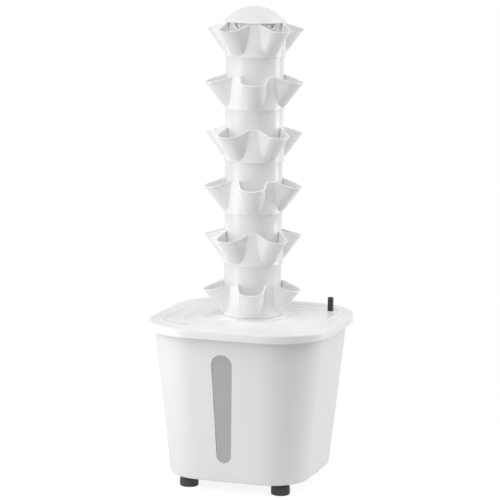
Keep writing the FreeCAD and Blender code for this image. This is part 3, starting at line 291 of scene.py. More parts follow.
class PlanterStage(bpy.types.PropertyGroup):
    """The camera, the lamps and the floor."""

    camera_place: FloatVectorProperty(
        name="Camera", description="Where the camera stands", subtype="XYZ", unit="LENGTH",
        default=(1.5029, -4.4541, 1.2328))
    camera_azimuth: FloatProperty(
        name="Azimuth", description="Turn of the view away from straight back",
        subtype="ANGLE", default=math.radians(18.71))
    camera_pitch: FloatProperty(
        name="Pitch", description="How far the camera looks down",
        subtype="ANGLE", default=math.radians(9.47))
    camera_roll: FloatProperty(
        name="Roll", description="Turn of the camera about its own view",
        subtype="ANGLE", default=math.radians(0.66))
    lens: FloatProperty(
        name="Lens", description="Focal length", unit="CAMERA", default=179.4)
    ambient: FloatProperty(
        name="Ambient", description="Light from all round", default=0.12, min=0)
    front_power: FloatProperty(
        name="Front", description="Power of the big lamp over the camera", unit="POWER",
        default=21.4)
    high_power: FloatProperty(
        name="High", description="Power of the big lamp high up in front", unit="POWER",
        default=31.5)
    side_power: FloatProperty(
        name="Side", description="Power of the soft lamp at the left in front", unit="POWER",
        default=2.2)
    left_power: FloatProperty(
        name="Left", description="Power of the soft lamp behind and at the left", unit="POWER",
        default=8.5)
    near_power: FloatProperty(
        name="Near", description="Power of the small lamp close to the bucket's left",
        unit="POWER", default=0.17)
    tall_power: FloatProperty(
        name="Tall", description="Power of the tall lamp close at the left", unit="POWER",
        default=2.3)
    strip_power: FloatProperty(
        name="Strip", description="Power of the tall strip lamp at the right", unit="POWER",
        default=16.8)
    right_power: FloatProperty(
        name="Right", description="Power of the soft lamp high at the right", unit="POWER",
        default=11.8)
    floor_radius: FloatProperty(
        name="Floor radius", description="Radius of the round floor", unit="LENGTH", default=2.2)
    floor_colour: FloatVectorProperty(
        name="Floor", description="Colour of the floor", subtype="COLOR", size=4,
        default=(0.8, 0.8, 0.8, 1), min=0, max=1)
    floor_glow: FloatProperty(
        name="Floor white", description="How much of the floor's white the camera always sees",
        subtype="FACTOR", default=0.86, min=0, max=1)
    shadow_reach: FloatProperty(
        name="Shadow reach", description="Radius past which the floor is plain white",
        unit="LENGTH", default=0.9)


def deselect():
    """Nothing selected, in object mode."""
    if bpy.context.mode != "OBJECT":
        bpy.ops.object.mode_set(mode="OBJECT")
    bpy.ops.object.select_all(action="DESELECT")


def pick(piece):
    """Only this piece selected, and active."""
    deselect()
    piece.select_set(True)
    bpy.context.view_layer.objects.active = piece


def new_piece(name):
    """The primitive just added, under its own name."""
    piece = bpy.context.active_object
    piece.name = name
    piece.data.name = name
    return piece


def close_shell(piece, crease):
    """Close the seams, point the faces outwards, and shade smooth between the creases."""
    pick(piece)
    bpy.ops.object.mode_set(mode="EDIT")
    bpy.ops.mesh.select_all(action="SELECT")
    bpy.ops.mesh.remove_doubles(threshold=SHELL_MERGE)
    bpy.ops.mesh.normals_make_consistent(inside=False)
    bpy.ops.object.mode_set(mode="OBJECT")
    bpy.ops.object.shade_smooth_by_angle(angle=crease)


def wrapped_grid(name, rows, crease=SHELL_CREASE):
    """A grid wrapped into a shell: each row is a list of points, and all are equally long."""
    deselect()
    bpy.ops.mesh.primitive_grid_add(x_subdivisions=len(rows[0]) - 1,
                                    y_subdivisions=len(rows) - 1, size=1)
    piece = new_piece(name)
    points = [point for row in rows for point in row]
    for vertex, point in zip(piece.data.vertices, points):
        vertex.co = point
    close_shell(piece, crease)
    return piece


def turned_shell(name, profile):
    """A shell of revolution: a ring extruded and resized from one profile point to the next."""
    deselect()
    radius, level = profile[0]
    bpy.ops.mesh.primitive_circle_add(vertices=CAP_SIDES, radius=radius, location=(0, 0, level))
    piece = new_piece(name)
    bpy.ops.object.transform_apply(location=True)
    bpy.ops.object.mode_set(mode="EDIT")
    bpy.ops.mesh.select_all(action="SELECT")
    for next_radius, next_level in profile[1:]:
        bpy.ops.mesh.extrude_region_move(
            TRANSFORM_OT_translate={"value": (0, 0, next_level - level)})
        share = next_radius / radius
        bpy.ops.transform.resize(value=(share, share, 1), center_override=(0, 0, next_level))
        radius, level = next_radius, next_level
    close_shell(piece, SHELL_CREASE)
    return piece


def arc(centre_radius, centre_level, radius, start, stop, steps):
    """Profile points along an arc; angles in degrees, from outwards over upwards."""
    angles = [math.radians(start + (stop - start) * step / steps) for step in range(steps + 1)]
    return [(centre_radius + radius * math.cos(angle), centre_level + radius * math.sin(angle))
            for angle in angles]


def dress(piece, body, slot, *nodes, finish=None):
    """The piece rides on a body, takes that slot's finish and stands for the nodes."""
    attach(piece, body)
    if nodes:
        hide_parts(*nodes)
    material_name = FINISHES[finish or slot][0]
    piece.data.materials.clear()
    piece.data.materials.append(bpy.data.materials[material_name])


def frame_copy(node, name):
    """A copy of a frame node's mesh as a new piece, its seams merged."""
    piece = bpy.data.objects.new(name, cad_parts[node].data.copy())
    bpy.context.scene.collection.objects.link(piece)
    pick(piece)
    bpy.ops.object.mode_set(mode="EDIT")
    bpy.ops.mesh.select_all(action="SELECT")
    bpy.ops.mesh.remove_doubles(threshold=FRAME_MERGE)
    bpy.ops.mesh.customdata_custom_splitnormals_clear()
    bpy.ops.mesh.select_all(action="DESELECT")
    bpy.ops.object.mode_set(mode="OBJECT")
    return piece


def soft_max(first, second, blend):
    """The larger of two lengths, eased over a blend where they are nearly the same."""
    overlap = max(blend - abs(first - second), 0) / blend
    return max(first, second) + overlap * overlap * blend / 4


class StarWall:
    """One face of a tier's wall: its outline at any level, over half a pocket's sector."""

    end_columns = 16
    fillet_columns = 5
    hub_columns = 6
    columns = end_columns + fillet_columns + hub_columns
    # Shares of the nose's columns: those that are all lip, and those over which it then fades
    lip_share, fade_share = 0.7, 0.5
    # The rims are looked for from this share of the lip's height to this share of the hub's
    search_low, search_high = 0.9, 1.05
    search_steps = 24

    def __init__(self, sizes, hub, inset):
        """The hub is given by its radius at level 0 and at its full height."""
        self.sizes = sizes
        self.inset = inset
        self.hub_foot, self.hub_top = hub
        self.fillet = sizes.fillet + inset
        self.half_sector = math.pi / sizes.pocket_count

    def hub(self, level):
        """The hub's radius at a level: it has a slight draft."""
        return self.hub_foot + (self.hub_top - self.hub_foot) * level / self.sizes.hub_height

    def pocket(self, level):
        """Middle and radius of a pocket's round nose at a level, and the spread of its flanks."""
        sizes = self.sizes
        share = level / sizes.lip_height
        tip = sizes.pocket_foot + (sizes.lip_radius - sizes.pocket_foot) * share
        tip -= sizes.foot_draw * max(1 - level / sizes.foot_rise, 0) ** 2
        half = sizes.half_foot + (sizes.half_top - sizes.half_foot) * share
        flare = sizes.flare * share
        root = math.sqrt(sizes.hub_radius ** 2 - half ** 2)
        nose = ((half * math.cos(flare) - (tip - root) * math.sin(flare))
                / (1 - math.sin(flare)))
        return tip - nose, nose - self.inset, flare

    def reach(self, angle, level):
        """How far the pocket's nose alone reaches at an angle from its middle."""
        centre, half, _ = self.pocket(level)
        across = centre * math.sin(angle)
        if across > half:
            return 0
        return centre * math.cos(angle) + math.sqrt(half * half - across * across)

    def outline(self, level):
        """Points from the pocket's middle round its nose, its flank, the fillet and the hub."""
        centre, half, flare = self.pocket(level)
        hub = self.hub(level)
        span = hub + self.fillet
        normal = Vector((math.sin(flare), math.cos(flare)))
        back = Vector((-math.cos(flare), math.sin(flare)))
        off = half + self.fillet + centre * math.sin(flare)
        root = normal * off - back * math.sqrt(span ** 2 - off ** 2)
        bend, flank = math.pi / 2 - flare, back.dot(root - Vector((centre, 0)))
        if flank < 0:
            along = (span ** 2 - (half + self.fillet) ** 2 + centre ** 2) / (2 * centre)
            root = Vector((along, math.sqrt(span ** 2 - along ** 2)))
            bend, flank = math.atan2(root.y, along - centre), 0
        points = []
        for step in range(self.end_columns):
            way = (half * bend + flank) * step / self.end_columns
            turn = min(way / half, bend)
            point = Vector((centre + half * math.cos(turn), half * math.sin(turn)))
            points.append(point + back * max(way - half * bend, 0))
        meet = math.atan2(root.y, root.x)
        for step in range(self.fillet_columns):
            turn = bend + (meet - bend) * step / self.fillet_columns - math.pi
            points.append(root + self.fillet * Vector((math.cos(turn), math.sin(turn))))
        for step in range(self.hub_columns + 1):
            turn = meet + (self.half_sector - meet) * step / self.hub_columns
            points.append(hub * Vector((math.cos(turn), math.sin(turn))))
        return points

    def lips(self):
        """For each column, how far it belongs to a lip: 1 at the nose, 0 on the hub."""
        full = self.end_columns * self.lip_share
        fade = self.end_columns * self.fade_share
        return [min(max((full + fade - column) / fade, 0), 1)
                for column in range(self.columns + 1)]

    def directions(self, level):
        """The outline's points as angles from the pocket's middle."""
        return [math.atan2(point.y, point.x) for point in self.outline(level)]

    def rim_levels(self):
        """For each column, the level at which it meets the cone that the rims lie on."""
        sizes = self.sizes
        fall = (sizes.hub_height - sizes.lip_height) / (sizes.lip_radius - sizes.hub_radius)
        levels = []
        for column in range(self.columns + 1):
            low = sizes.lip_height * self.search_low
            high = sizes.hub_height * self.search_high
            for _ in range(self.search_steps):
                level = (low + high) / 2
                beyond = max(self.outline(level)[column].length - sizes.hub_radius, 0)
                cone = sizes.hub_height - fall * beyond
                if level < cone:
                    low = level
                else:
                    high = level
            levels.append(low)
        return levels

    def ring(self, levels):
        """A closed ring of points round all the pockets, at each column's own level."""
        half = [(*self.outline(level)[column], level) for column, level in enumerate(levels)]
        return whole_ring(half, self.sizes.pocket_count)

    def level_ring(self, level):
        """A closed ring of points at one level."""
        return self.ring([level] * len(self.outline(level)))


def whole_ring(half, count):
    """Half a sector's points mirrored and turned into a closed ring."""
    ring = []
    for number in range(count):
        turn = Matrix.Rotation(2 * math.pi * number / count, 3, "Z")
        mirrored = [Vector((along, -across, level)) for along, across, level in reversed(half[1:])]
        straight = [Vector(point) for point in half[:-1]]
        ring += [turn @ point for point in mirrored + straight]
    ring.append(ring[0].copy())
    return ring


def polar_ring(directions, reaches, level, count):
    """A closed ring at a level from directions and reaches over half a sector."""
    half = [(reach * math.cos(angle), reach * math.sin(angle), level)
            for angle, reach in zip(directions, reaches)]
    return whole_ring(half, count)


def rim_rings(outside, inside, lips, bead):
    """Rings over the rim, from its outer foot over the top to its inner foot.

    A column is rolled and proud as far as it belongs to a lip, and squarer on the hub.
    """
    count = len(outside) - 1
    rings = [[] for _ in range(RIM_STEPS + 1)]
    for column in range(count + 1):
        outer, inner = outside[column], inside[column]
        ahead = outside[(column + 1) % count] + inside[(column + 1) % count]
        behind = outside[(column - 1) % count] + inside[(column - 1) % count]
        across = (outer - inner).normalized()
        up = across.cross(ahead - behind).normalized()
        if up.z < 0:
            up = -up
        more = lips[column] * bead
        power = HUB_ROUNDNESS + (1 - HUB_ROUNDNESS) * lips[column]
        radius = (outer - inner).length / 2 + more * BEAD_GROWTH
        middle = (outer + inner) / 2 + across * more * 0.5 - up * radius
        for step, ring in enumerate(rings):
            turn = math.radians(ROLL_START + ROLL_TURN * step / RIM_STEPS)
            out = math.copysign(abs(math.cos(turn)) ** power, math.cos(turn))
            rise = math.copysign(abs(math.sin(turn)) ** power, math.sin(turn))
            ring.append(middle + radius * (across * out + up * rise))
    return rings


def tier_rows(sizes):
    """Rings of points right round the moulding: neck, collar, pockets, rim, inside and floor."""
    edge, count = sizes.edge, sizes.pocket_count
    ease = edge * ROUND_MIDDLE
    neck, collar, top = sizes.neck_radius, sizes.collar_radius, sizes.collar_height
    bore = neck - sizes.wall
    socket = neck + sizes.socket_gap
    foot = -sizes.neck_foot
    floor = foot + sizes.wall
    wall = StarWall(sizes, (sizes.hub_foot, sizes.hub_radius), 0)
    band = StarWall(sizes, (sizes.hub_foot, sizes.hub_radius), -sizes.band)
    mouth = StarWall(sizes, (socket, socket), sizes.wall)
    inner = StarWall(sizes, (bore, bore), sizes.wall)
    wall_foot = top + edge
    directions = wall.directions(wall_foot)
    rows = []

    def plain(radius, level, turns=directions):
        """Add a round row."""
        rows.append(polar_ring(turns, [radius] * len(turns), level, count))

    for radius, level in (
            (sizes.centre_hole, foot), (sizes.drip_circle, foot), (neck - edge, foot),
            (neck - ease, foot + ease), (neck, foot + edge), (neck, foot / 2), (neck, -edge),
            (neck + ease, -ease), (neck + edge, 0), (collar - edge, 0)):
        plain(radius, level)
    collar_rows = [(collar - ease, ease), (collar, edge)]
    collar_rows += [(collar, top * share) for share in (0.3, 0.5, 0.7)]
    collar_rows += [(collar, top - edge), (collar - ease, top - ease),
                    (sizes.hub_foot + edge * HUB_START, top)]
    for hub, level in collar_rows:
        reaches = [soft_max(hub, wall.reach(turn, level), sizes.fillet) for turn in directions]
        rows.append(polar_ring(directions, reaches, level, count))
    rims = wall.rim_levels()
    for step in range(WALL_STEPS + 1):
        rows.append(wall.ring([wall_foot + (rim - sizes.band_height - wall_foot) * step / WALL_STEPS
                               for rim in rims]))
    band_middle = sizes.band_height * BAND_MIDDLE
    for drop in (sizes.band_height - 2 * sizes.band, band_middle):
        rows.append(band.ring([rim - drop for rim in rims]))
    inner_rims = mouth.rim_levels()
    lips = [point.length for point in whole_ring([(lip, 0, 0) for lip in wall.lips()], count)]
    rows += rim_rings(band.ring(rims), mouth.ring(inner_rims), lips, sizes.bead)
    ledge = sizes.ledge_height + edge / 2
    starts = [rim - band_middle for rim in inner_rims]
    for step in range(MOUTH_STEPS + 1):
        rows.append(mouth.ring([start + (ledge - start) * step / MOUTH_STEPS for start in starts]))
    well = sizes.ledge_height - edge / 2
    low = sizes.wall * WELL_END
    for step in range(WELL_STEPS + 1):
        rows.append(inner.level_ring(well + (low - well) * step / WELL_STEPS))
    turns = inner.directions(low)
    plain(bore, sizes.wall, turns)
    plain(bore, 0, turns)
    for radius, level in ((bore, foot / 2), (bore, floor + edge),
                          (bore - edge * (1 - ROUND_MIDDLE), floor + ease),
                          (bore - 2 * edge, floor),
                          (sizes.drip_circle, floor), (sizes.centre_hole, floor),
                          (sizes.centre_hole, foot)):
        plain(radius, level)
    return rows


def drill_tier(piece, sizes):
    """Cut the drip holes in the floor and the index notch in the collar."""
    cutters = []
    middle = -sizes.neck_foot + sizes.wall / 2
    for number in range(sizes.drip_count):
        turn = 2 * math.pi * number / sizes.drip_count
        place = (sizes.drip_circle * math.cos(turn), sizes.drip_circle * math.sin(turn), middle)
        # Much deeper than the floor, so that it goes right through
        cutters.append((sizes.drip_hole, 4 * sizes.wall, place))
    turn = math.pi / sizes.pocket_count
    place = (sizes.collar_radius * math.cos(turn), sizes.collar_radius * math.sin(turn), 0)
    # Its middle is at the collar's underside, so half of its depth cuts the collar
    cutters.append((sizes.notch_radius, 2 * sizes.notch_height, place))
    deselect()
    drills = []
    for radius, depth, place in cutters:
        bpy.ops.mesh.primitive_cylinder_add(vertices=DRILL_SIDES, radius=radius, depth=depth,
                                            location=place)
        drills.append(bpy.context.active_object)
    for drill in drills:
        drill.select_set(True)
    bpy.ops.object.join()
    drill = bpy.context.active_object
    pick(piece)
    cut = piece.modifiers.new("drill", "BOOLEAN")
    cut.operation = "DIFFERENCE"
    cut.solver = "EXACT"
    cut.object = drill
    bpy.ops.object.modifier_apply(modifier=cut.name)
    bpy.data.objects.remove(drill)


class PLANTER_OT_tiers(bpy.types.Operator):
    """Model the tier's moulding once and stack its copies, each half a pocket round"""

    bl_idname = "planter.tiers"
    bl_label = "Tiers"

    def execute(self, context):
        sizes = context.scene.planter_tier
        pattern = wrapped_grid("tier_pattern", tier_rows(sizes))
        drill_tier(pattern, sizes)
        for number, name in enumerate(TIER_NAMES):
            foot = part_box(name)[0].z
            turn = sizes.first_pocket + math.pi / sizes.pocket_count * (number % 2)
            piece = bpy.data.objects.new(name + "_moulding", pattern.data.copy())
            context.scene.collection.objects.link(piece)
            piece.data.transform(Matrix.Translation((0, 0, foot + sizes.neck_foot))
                                 @ Matrix.Rotation(turn, 4, "Z"))
            dress(piece, name, "white_moulding", name)
        bpy.data.objects.remove(pattern)
        return {"FINISHED"}


class PLANTER_OT_cap(bpy.types.Operator):
    """Turn the domed cap with its rolled rim and inner skirt"""

    bl_idname = "planter.cap"
    bl_label = "Cap"

    def execute(self, context):
        sizes = context.scene.planter_top
        low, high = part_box("top_cap")
        rim = high.z - sizes.cap_height
        sphere = (sizes.cap_radius ** 2 + sizes.cap_height ** 2) / (2 * sizes.cap_height)
        centre = high.z - sphere
        edge, wall = sizes.cap_edge, sizes.cap_wall
        ease, skirt = edge * ROUND_MIDDLE, sizes.skirt_radius
        inside = skirt - wall
        dome_reach = sizes.cap_radius - edge * 0.6
        # Both domes stop just short of the axis, which is at 90 degrees
        outer_end, inner_end = 89.6, 89.5
        outer_steps, inner_steps, edge_steps = 28, 16, 6
        # The rim's rounding starts near the dome's own slope and ends straight down
        rim_start, rim_end = 30, -90
        spread = math.degrees(math.asin(dome_reach / sphere))
        inner_sphere = sphere - wall
        inner_spread = math.degrees(math.asin(inside / inner_sphere))
        profile = arc(0, centre, sphere, outer_end, 90 - spread, outer_steps)
        profile += arc(sizes.cap_radius - edge, rim + edge, edge, rim_start, rim_end, edge_steps)
        profile += [(skirt + ease, rim), (skirt, rim - ease)]
        profile += arc(skirt - wall / 2, low.z + wall / 2, wall / 2, 0, -180, edge_steps)
        profile += arc(0, centre, inner_sphere, 90 - inner_spread, inner_end, inner_steps)
        piece = turned_shell("top_cap_moulding", profile)
        fill_poles(piece)
        dress(piece, "top_cap", "white_moulding", "top_cap")
        return {"FINISHED"}


def fill_poles(piece):
    """Close the small open rings at the axis."""
    pick(piece)
    bpy.ops.object.mode_set(mode="EDIT")
    bpy.ops.mesh.select_all(action="SELECT")
    bpy.ops.mesh.fill_holes(sides=0)
    bpy.ops.mesh.select_all(action="SELECT")
    bpy.ops.mesh.normals_make_consistent(inside=False)
    bpy.ops.object.mode_set(mode="OBJECT")


class PLANTER_OT_spreader_rims(bpy.types.Operator):
    """Sweep a bead round each of the spreader's notches"""

    bl_idname = "planter.spreader_rims"
    bl_label = "Notch rims"

    def execute(self, context):
        sizes = context.scene.planter_top
        tier = context.scene.planter_tier
        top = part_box("spreader_cup")[1].z
        first = tier.first_pocket + math.pi / tier.pocket_count
        radius, bead = sizes.notch_radius, sizes.loop_thickness
        middle = top - sizes.notch_drop
        # The path's ends lie a little below the spreader's rim
        end, bends = top - bead * 0.3, 20
        path = [(-radius, end), (-radius, (top + middle) / 2)]
        path += [(-radius * math.cos(turn), middle - radius * math.sin(turn))
                 for turn in (math.pi * step / bends for step in range(bends + 1))]
        path += [(radius, (top + middle) / 2), (radius, end)]
        # The bead's middle stands just over its own radius out of the cap's skirt
        reach = sizes.skirt_radius + bead * 1.1
        loops = []
        for number in range(tier.pocket_count):
            facing = first + 2 * math.pi * number / tier.pocket_count
            loops.append(self.loop(path, facing, reach, bead))
        deselect()
        for loop in loops:
            loop.select_set(True)
        context.view_layer.objects.active = loops[0]
        bpy.ops.object.join()
        piece = new_piece("spreader_notch_rims")
        dress(piece, "spreader_cup", "white_moulding")
        return {"FINISHED"}

    def loop(self, path, facing, reach, bead):
        """A tube along a path on the spreader's wall, closed at both ends."""
        def place(across, level, out):
            """A point across the wall, at a level and this far out of it."""
            turn = facing + across / reach
            return Vector(((reach + out) * math.cos(turn), (reach + out) * math.sin(turn), level))

        rows = []
        last = len(path) - 1
        for number, (across, level) in enumerate(path):
            before, after = path[max(number - 1, 0)], path[min(number + 1, last)]
            way = Vector((after[0] - before[0], after[1] - before[1])).normalized()
            row = []
            for side in range(BEAD_SIDES + 1):
                turn = 2 * math.pi * side / BEAD_SIDES
                off = bead * math.cos(turn)
                row.append(place(across - way.y * off, level + way.x * off,
                                 bead * math.sin(turn)))
            rows.append(row)
        ends = [[place(*path[number], 0)] * (BEAD_SIDES + 1) for number in (0, last)]
        return wrapped_grid("notch_rim", [ends[0]] + rows + [ends[1]], TUBE_CREASE)


class PLANTER_OT_lid(bpy.types.Operator):
    """Soften the lid's ribs from plain round humps into low waves"""

    bl_idname = "planter.lid"
    bl_label = "Lid"

    def execute(self, context):
        sizes = context.scene.planter_lid
        piece = frame_copy("lid", "lid_moulding")
        half, rise = sizes.rib_width / 2, sizes.frame_rise
        curve = (half * half + rise * rise) / (2 * rise)
        # Points between these heights over the plate are taken for a rib's
        lowest, highest = 0.05 * MM, rise * 1.05
        for vertex in piece.data.vertices:
            up = vertex.co.z - sizes.plate_top
            if lowest < up < highest:
                across = math.sqrt(max(curve ** 2 - (up + curve - rise) ** 2, 0))
                wave = (1 + math.cos(math.pi * min(across / half, 1))) / 2
                vertex.co.z = sizes.plate_top + sizes.rib_rise * wave
        bpy.ops.object.shade_smooth_by_angle(angle=FRAME_CREASE)
        weights = piece.modifiers.new("weights", "WEIGHTED_NORMAL")
        weights.keep_sharp = True
        bpy.ops.object.modifier_apply(modifier=weights.name)
        dress(piece, "lid", "white_moulding", "lid", finish="lid")
        return {"FINISHED"}


class PLANTER_OT_window(bpy.types.Operator):
    """Set the sight window's face back in its opening"""

    bl_idname = "planter.window"
    bl_label = "Sight window"

    def execute(self, context):
        depth = context.scene.planter_window.pane_depth
        piece = frame_copy("sight_window", "sight_window_pane")
        facing_front = -0.9
        for face in piece.data.polygons:
            if face.normal.y < facing_front:
                face.select = True
        bpy.ops.object.mode_set(mode="EDIT")
        bpy.ops.transform.translate(value=(0, depth, 0))
        bpy.ops.object.mode_set(mode="OBJECT")
        bpy.ops.object.shade_smooth_by_angle(angle=FRAME_CREASE)
        dress(piece, "reservoir", "window_grey", "sight_window")
        return {"FINISHED"}


def camera_axes(stage):
    """The camera's level forward and right directions."""
    forward = Vector((-math.sin(stage.camera_azimuth), math.cos(stage.camera_azimuth), 0))
    right = Vector((math.cos(stage.camera_azimuth), math.sin(stage.camera_azimuth), 0))
    return forward, right


def make_camera(stage):
    """The camera at the photograph's place."""
    data = bpy.data.cameras.new("camera")
    data.lens = stage.lens
    data.sensor_width = 36
    camera = bpy.data.objects.new("camera", data)
    bpy.context.scene.collection.objects.link(camera)
    forward, right = camera_axes(stage)
    ahead = forward * math.cos(stage.camera_pitch) - Vector((0, 0, math.sin(stage.camera_pitch)))
    turn = Matrix((right, right.cross(ahead), -ahead)).transposed().to_4x4()
    camera.matrix_world = (Matrix.Translation(stage.camera_place) @ turn
                           @ Matrix.Rotation(stage.camera_roll, 4, "Z"))
    bpy.context.scene.camera = camera


def look_at(place, target):
    """A matrix at a place whose -Z axis points at a target."""
    turn = (target - place).to_track_quat("-Z", "Y").to_matrix().to_4x4()
    return Matrix.Translation(place) @ turn


def make_lamp(name, stage):
    """A soft lamp aimed at the tower's axis."""
    bearing, elevation, distance, size, aim_height = LAMPS[name]
    forward, right = camera_axes(stage)
    bearing, elevation = math.radians(bearing), math.radians(elevation)
    level = right * math.sin(bearing) - forward * math.cos(bearing)
    aim = Vector((0, 0, aim_height))
    place = aim + distance * (level * math.cos(elevation) + Vector((0, 0, math.sin(elevation))))
    data = bpy.data.lights.new(name + "_lamp", "AREA")
    data.shape = "RECTANGLE"
    data.size, data.size_y = size
    data.energy = getattr(stage, name + "_power")
    lamp = bpy.data.objects.new(name + "_lamp", data)
    bpy.context.scene.collection.objects.link(lamp)
    lamp.matrix_world = look_at(place, aim)
    lamp.visible_camera = False


def seen_directly(tree):
    """1 for camera, mirror and see-through rays, 0 for the rays that carry soft light."""
    path = tree.nodes.new("ShaderNodeLightPath")
    total = path.outputs["Is Camera Ray"]
    for kind in ("Is Glossy Ray", "Is Transmission Ray"):
        total = math_node(tree, "MAXIMUM", total, path.outputs[kind])
    return total


def make_world(stage):
    """White all round for the eye, and a plain soft level of light for the object."""
    world = bpy.data.worlds.new("studio")
    bpy.context.scene.world = world
    world.use_nodes = True
    tree = world.node_tree
    background = tree.nodes["Background"]
    background.inputs["Color"].default_value = (1, 1, 1, 1)
    level = tree.nodes.new("ShaderNodeMapRange")
    level.inputs["To Min"].default_value = stage.ambient
    level.inputs["To Max"].default_value = 1
    tree.links.new(seen_directly(tree), level.inputs["Value"])
    tree.links.new(level.outputs["Result"], background.inputs["Strength"])


def floor_material(stage):
    """A pale floor that the camera sees as nearly white, and that keeps a soft shadow."""
    material = bpy.data.materials.new("studio_floor")
    material.use_nodes = True
    tree = material.node_tree
    tree.nodes.clear()
    out = tree.nodes.new("ShaderNodeOutputMaterial")
    plain = tree.nodes.new("ShaderNodeBsdfDiffuse")
    plain.inputs["Color"].default_value = stage.floor_colour
    faint = tree.nodes.new("ShaderNodeBsdfDiffuse")
    shade = (1 - stage.floor_glow) / WHITE_LEVEL
    faint.inputs["Color"].default_value = (shade, shade, shade, 1)
    glow = tree.nodes.new("ShaderNodeEmission")
    glow.inputs["Strength"].default_value = stage.floor_glow
    both = tree.nodes.new("ShaderNodeAddShader")
    tree.links.new(faint.outputs[0], both.inputs[0])
    tree.links.new(glow.outputs[0], both.inputs[1])
    white = tree.nodes.new("ShaderNodeEmission")
    away = tree.nodes.new("ShaderNodeVectorMath")
    away.operation = "LENGTH"
    tree.links.new(tree.nodes.new("ShaderNodeTexCoord").outputs["Object"], away.inputs[0])
    # The shadow is whole within a third of its reach, and fades from there
    fade = tree.nodes.new("ShaderNodeMapRange")
    fade.inputs["From Min"].default_value = stage.shadow_reach / 3
    fade.inputs["From Max"].default_value = stage.shadow_reach
    tree.links.new(away.outputs["Value"], fade.inputs["Value"])
    seen = tree.nodes.new("ShaderNodeMixShader")
    tree.links.new(fade.outputs["Result"], seen.inputs[0])
    tree.links.new(both.outputs[0], seen.inputs[1])
    tree.links.new(white.outputs[0], seen.inputs[2])
    pick_by_ray = tree.nodes.new("ShaderNodeMixShader")
    tree.links.new(seen_directly(tree), pick_by_ray.inputs[0])
    tree.links.new(plain.outputs[0], pick_by_ray.inputs[1])
    tree.links.new(seen.outputs[0], pick_by_ray.inputs[2])
    tree.links.new(pick_by_ray.outputs[0], out.inputs["Surface"])
    return material


class PLANTER_OT_stage(bpy.types.Operator):
    """Set up the floor, the studio light and the camera"""

    bl_idname = "planter.stage"
    bl_label = "Stage"

    def execute(self, context):
        stage = context.scene.planter_stage
        context.scene.view_settings.view_transform = "Standard"
        deselect()
        bpy.ops.mesh.primitive_circle_add(vertices=FLOOR_SIDES, radius=stage.floor_radius,
                                          fill_type="NGON")
        floor = new_piece("floor")
        floor.data.materials.append(floor_material(stage))
        for name in LAMPS:
            make_lamp(name, stage)
        make_world(stage)
        make_camera(stage)
        return {"FINISHED"}


def new_group(name, inputs, outputs):
    """An empty shader node group with named sockets, and its two end nodes."""
    group = bpy.data.node_groups.new(name, "ShaderNodeTree")
    for label, kind, value in inputs:
        group.interface.new_socket(label, in_out="INPUT", socket_type=kind).default_value = value
    for label, kind in outputs:
        group.interface.new_socket(label, in_out="OUTPUT", socket_type=kind)
    return group, group.nodes.new("NodeGroupInput"), group.nodes.new("NodeGroupOutput")


def feed(tree, value, socket):
    """A number or another socket's output into a socket."""
    if isinstance(value, bpy.types.NodeSocket):
        tree.links.new(value, socket)
    else:
        socket.default_value = value


def math_node(tree, operation, *values):
    """A Math node; each operand is a number or an output socket."""
    node = tree.nodes.new("ShaderNodeMath")
    node.operation = operation
    for socket, value in zip(node.inputs, values):
        feed(tree, value, socket)
    return node.outputs[0]


def drift(tree, pattern, amount, middle):
    """A pattern of 0 to 1 turned into a value that wanders about a middle by an amount."""
    away = math_node(tree, "SUBTRACT", pattern, 0.5)
    return math_node(tree, "MULTIPLY_ADD", away, amount, middle)


def noise(tree, place, scale, detail=2.0, rough=0.5):
    """A noise pattern, 0 to 1, at a scale that is a number or a socket."""
    node = tree.nodes.new("ShaderNodeTexNoise")
    tree.links.new(place, node.inputs["Vector"])
    feed(tree, scale, node.inputs["Scale"])
    node.inputs["Detail"].default_value = detail
    node.inputs["Roughness"].default_value = rough
    return node.outputs["Fac"]


def shade_colour(tree, colour, tone):
    """A colour multiplied by a tone."""
    shade = tree.nodes.new("ShaderNodeMix")
    shade.data_type = "RGBA"
    shade.blend_type = "MULTIPLY"
    shade.inputs["Factor"].default_value = 1.0
    feed(tree, colour, shade.inputs["A"])
    tree.links.new(tone, shade.inputs["B"])
    return shade.outputs["Result"]


def moulded_skin_group():
    """Moulded plastic: a fine grain, faint sink marks, and a tone and gloss that drift."""
    group, start, end = new_group(
        "Moulded skin",
        [("Colour", "NodeSocketColor", (0.8, 0.8, 0.8, 1)),
         ("Roughness", "NodeSocketFloat", 0.4),
         ("Gloss Drift", "NodeSocketFloat", 0.06),
         ("Tone Drift", "NodeSocketFloat", 0.02),
         ("Grain Scale", "NodeSocketFloat", 900.0),
         ("Grain", "NodeSocketFloat", 0.3),
         ("Sink", "NodeSocketFloat", 1.0)],
        [("Colour", "NodeSocketColor"), ("Roughness", "NodeSocketFloat"),
         ("Height", "NodeSocketFloat")])
    place = group.nodes.new("ShaderNodeTexCoord").outputs["Object"]
    broad = noise(group, place, scale=9.0, detail=1.5)
    cloudy = noise(group, place, scale=38.0, detail=3.0)
    fine = noise(group, place, start.outputs["Grain Scale"], rough=0.6)
    tone = drift(group, cloudy, start.outputs["Tone Drift"], middle=1.0)
    group.links.new(shade_colour(group, start.outputs["Colour"], tone), end.inputs["Colour"])
    gloss = drift(group, cloudy, start.outputs["Gloss Drift"], start.outputs["Roughness"])
    group.links.new(gloss, end.inputs["Roughness"])
    sink = math_node(group, "MULTIPLY", broad, start.outputs["Sink"])
    height = math_node(group, "MULTIPLY_ADD", fine, start.outputs["Grain"], sink)
    group.links.new(height, end.inputs["Height"])
    return group


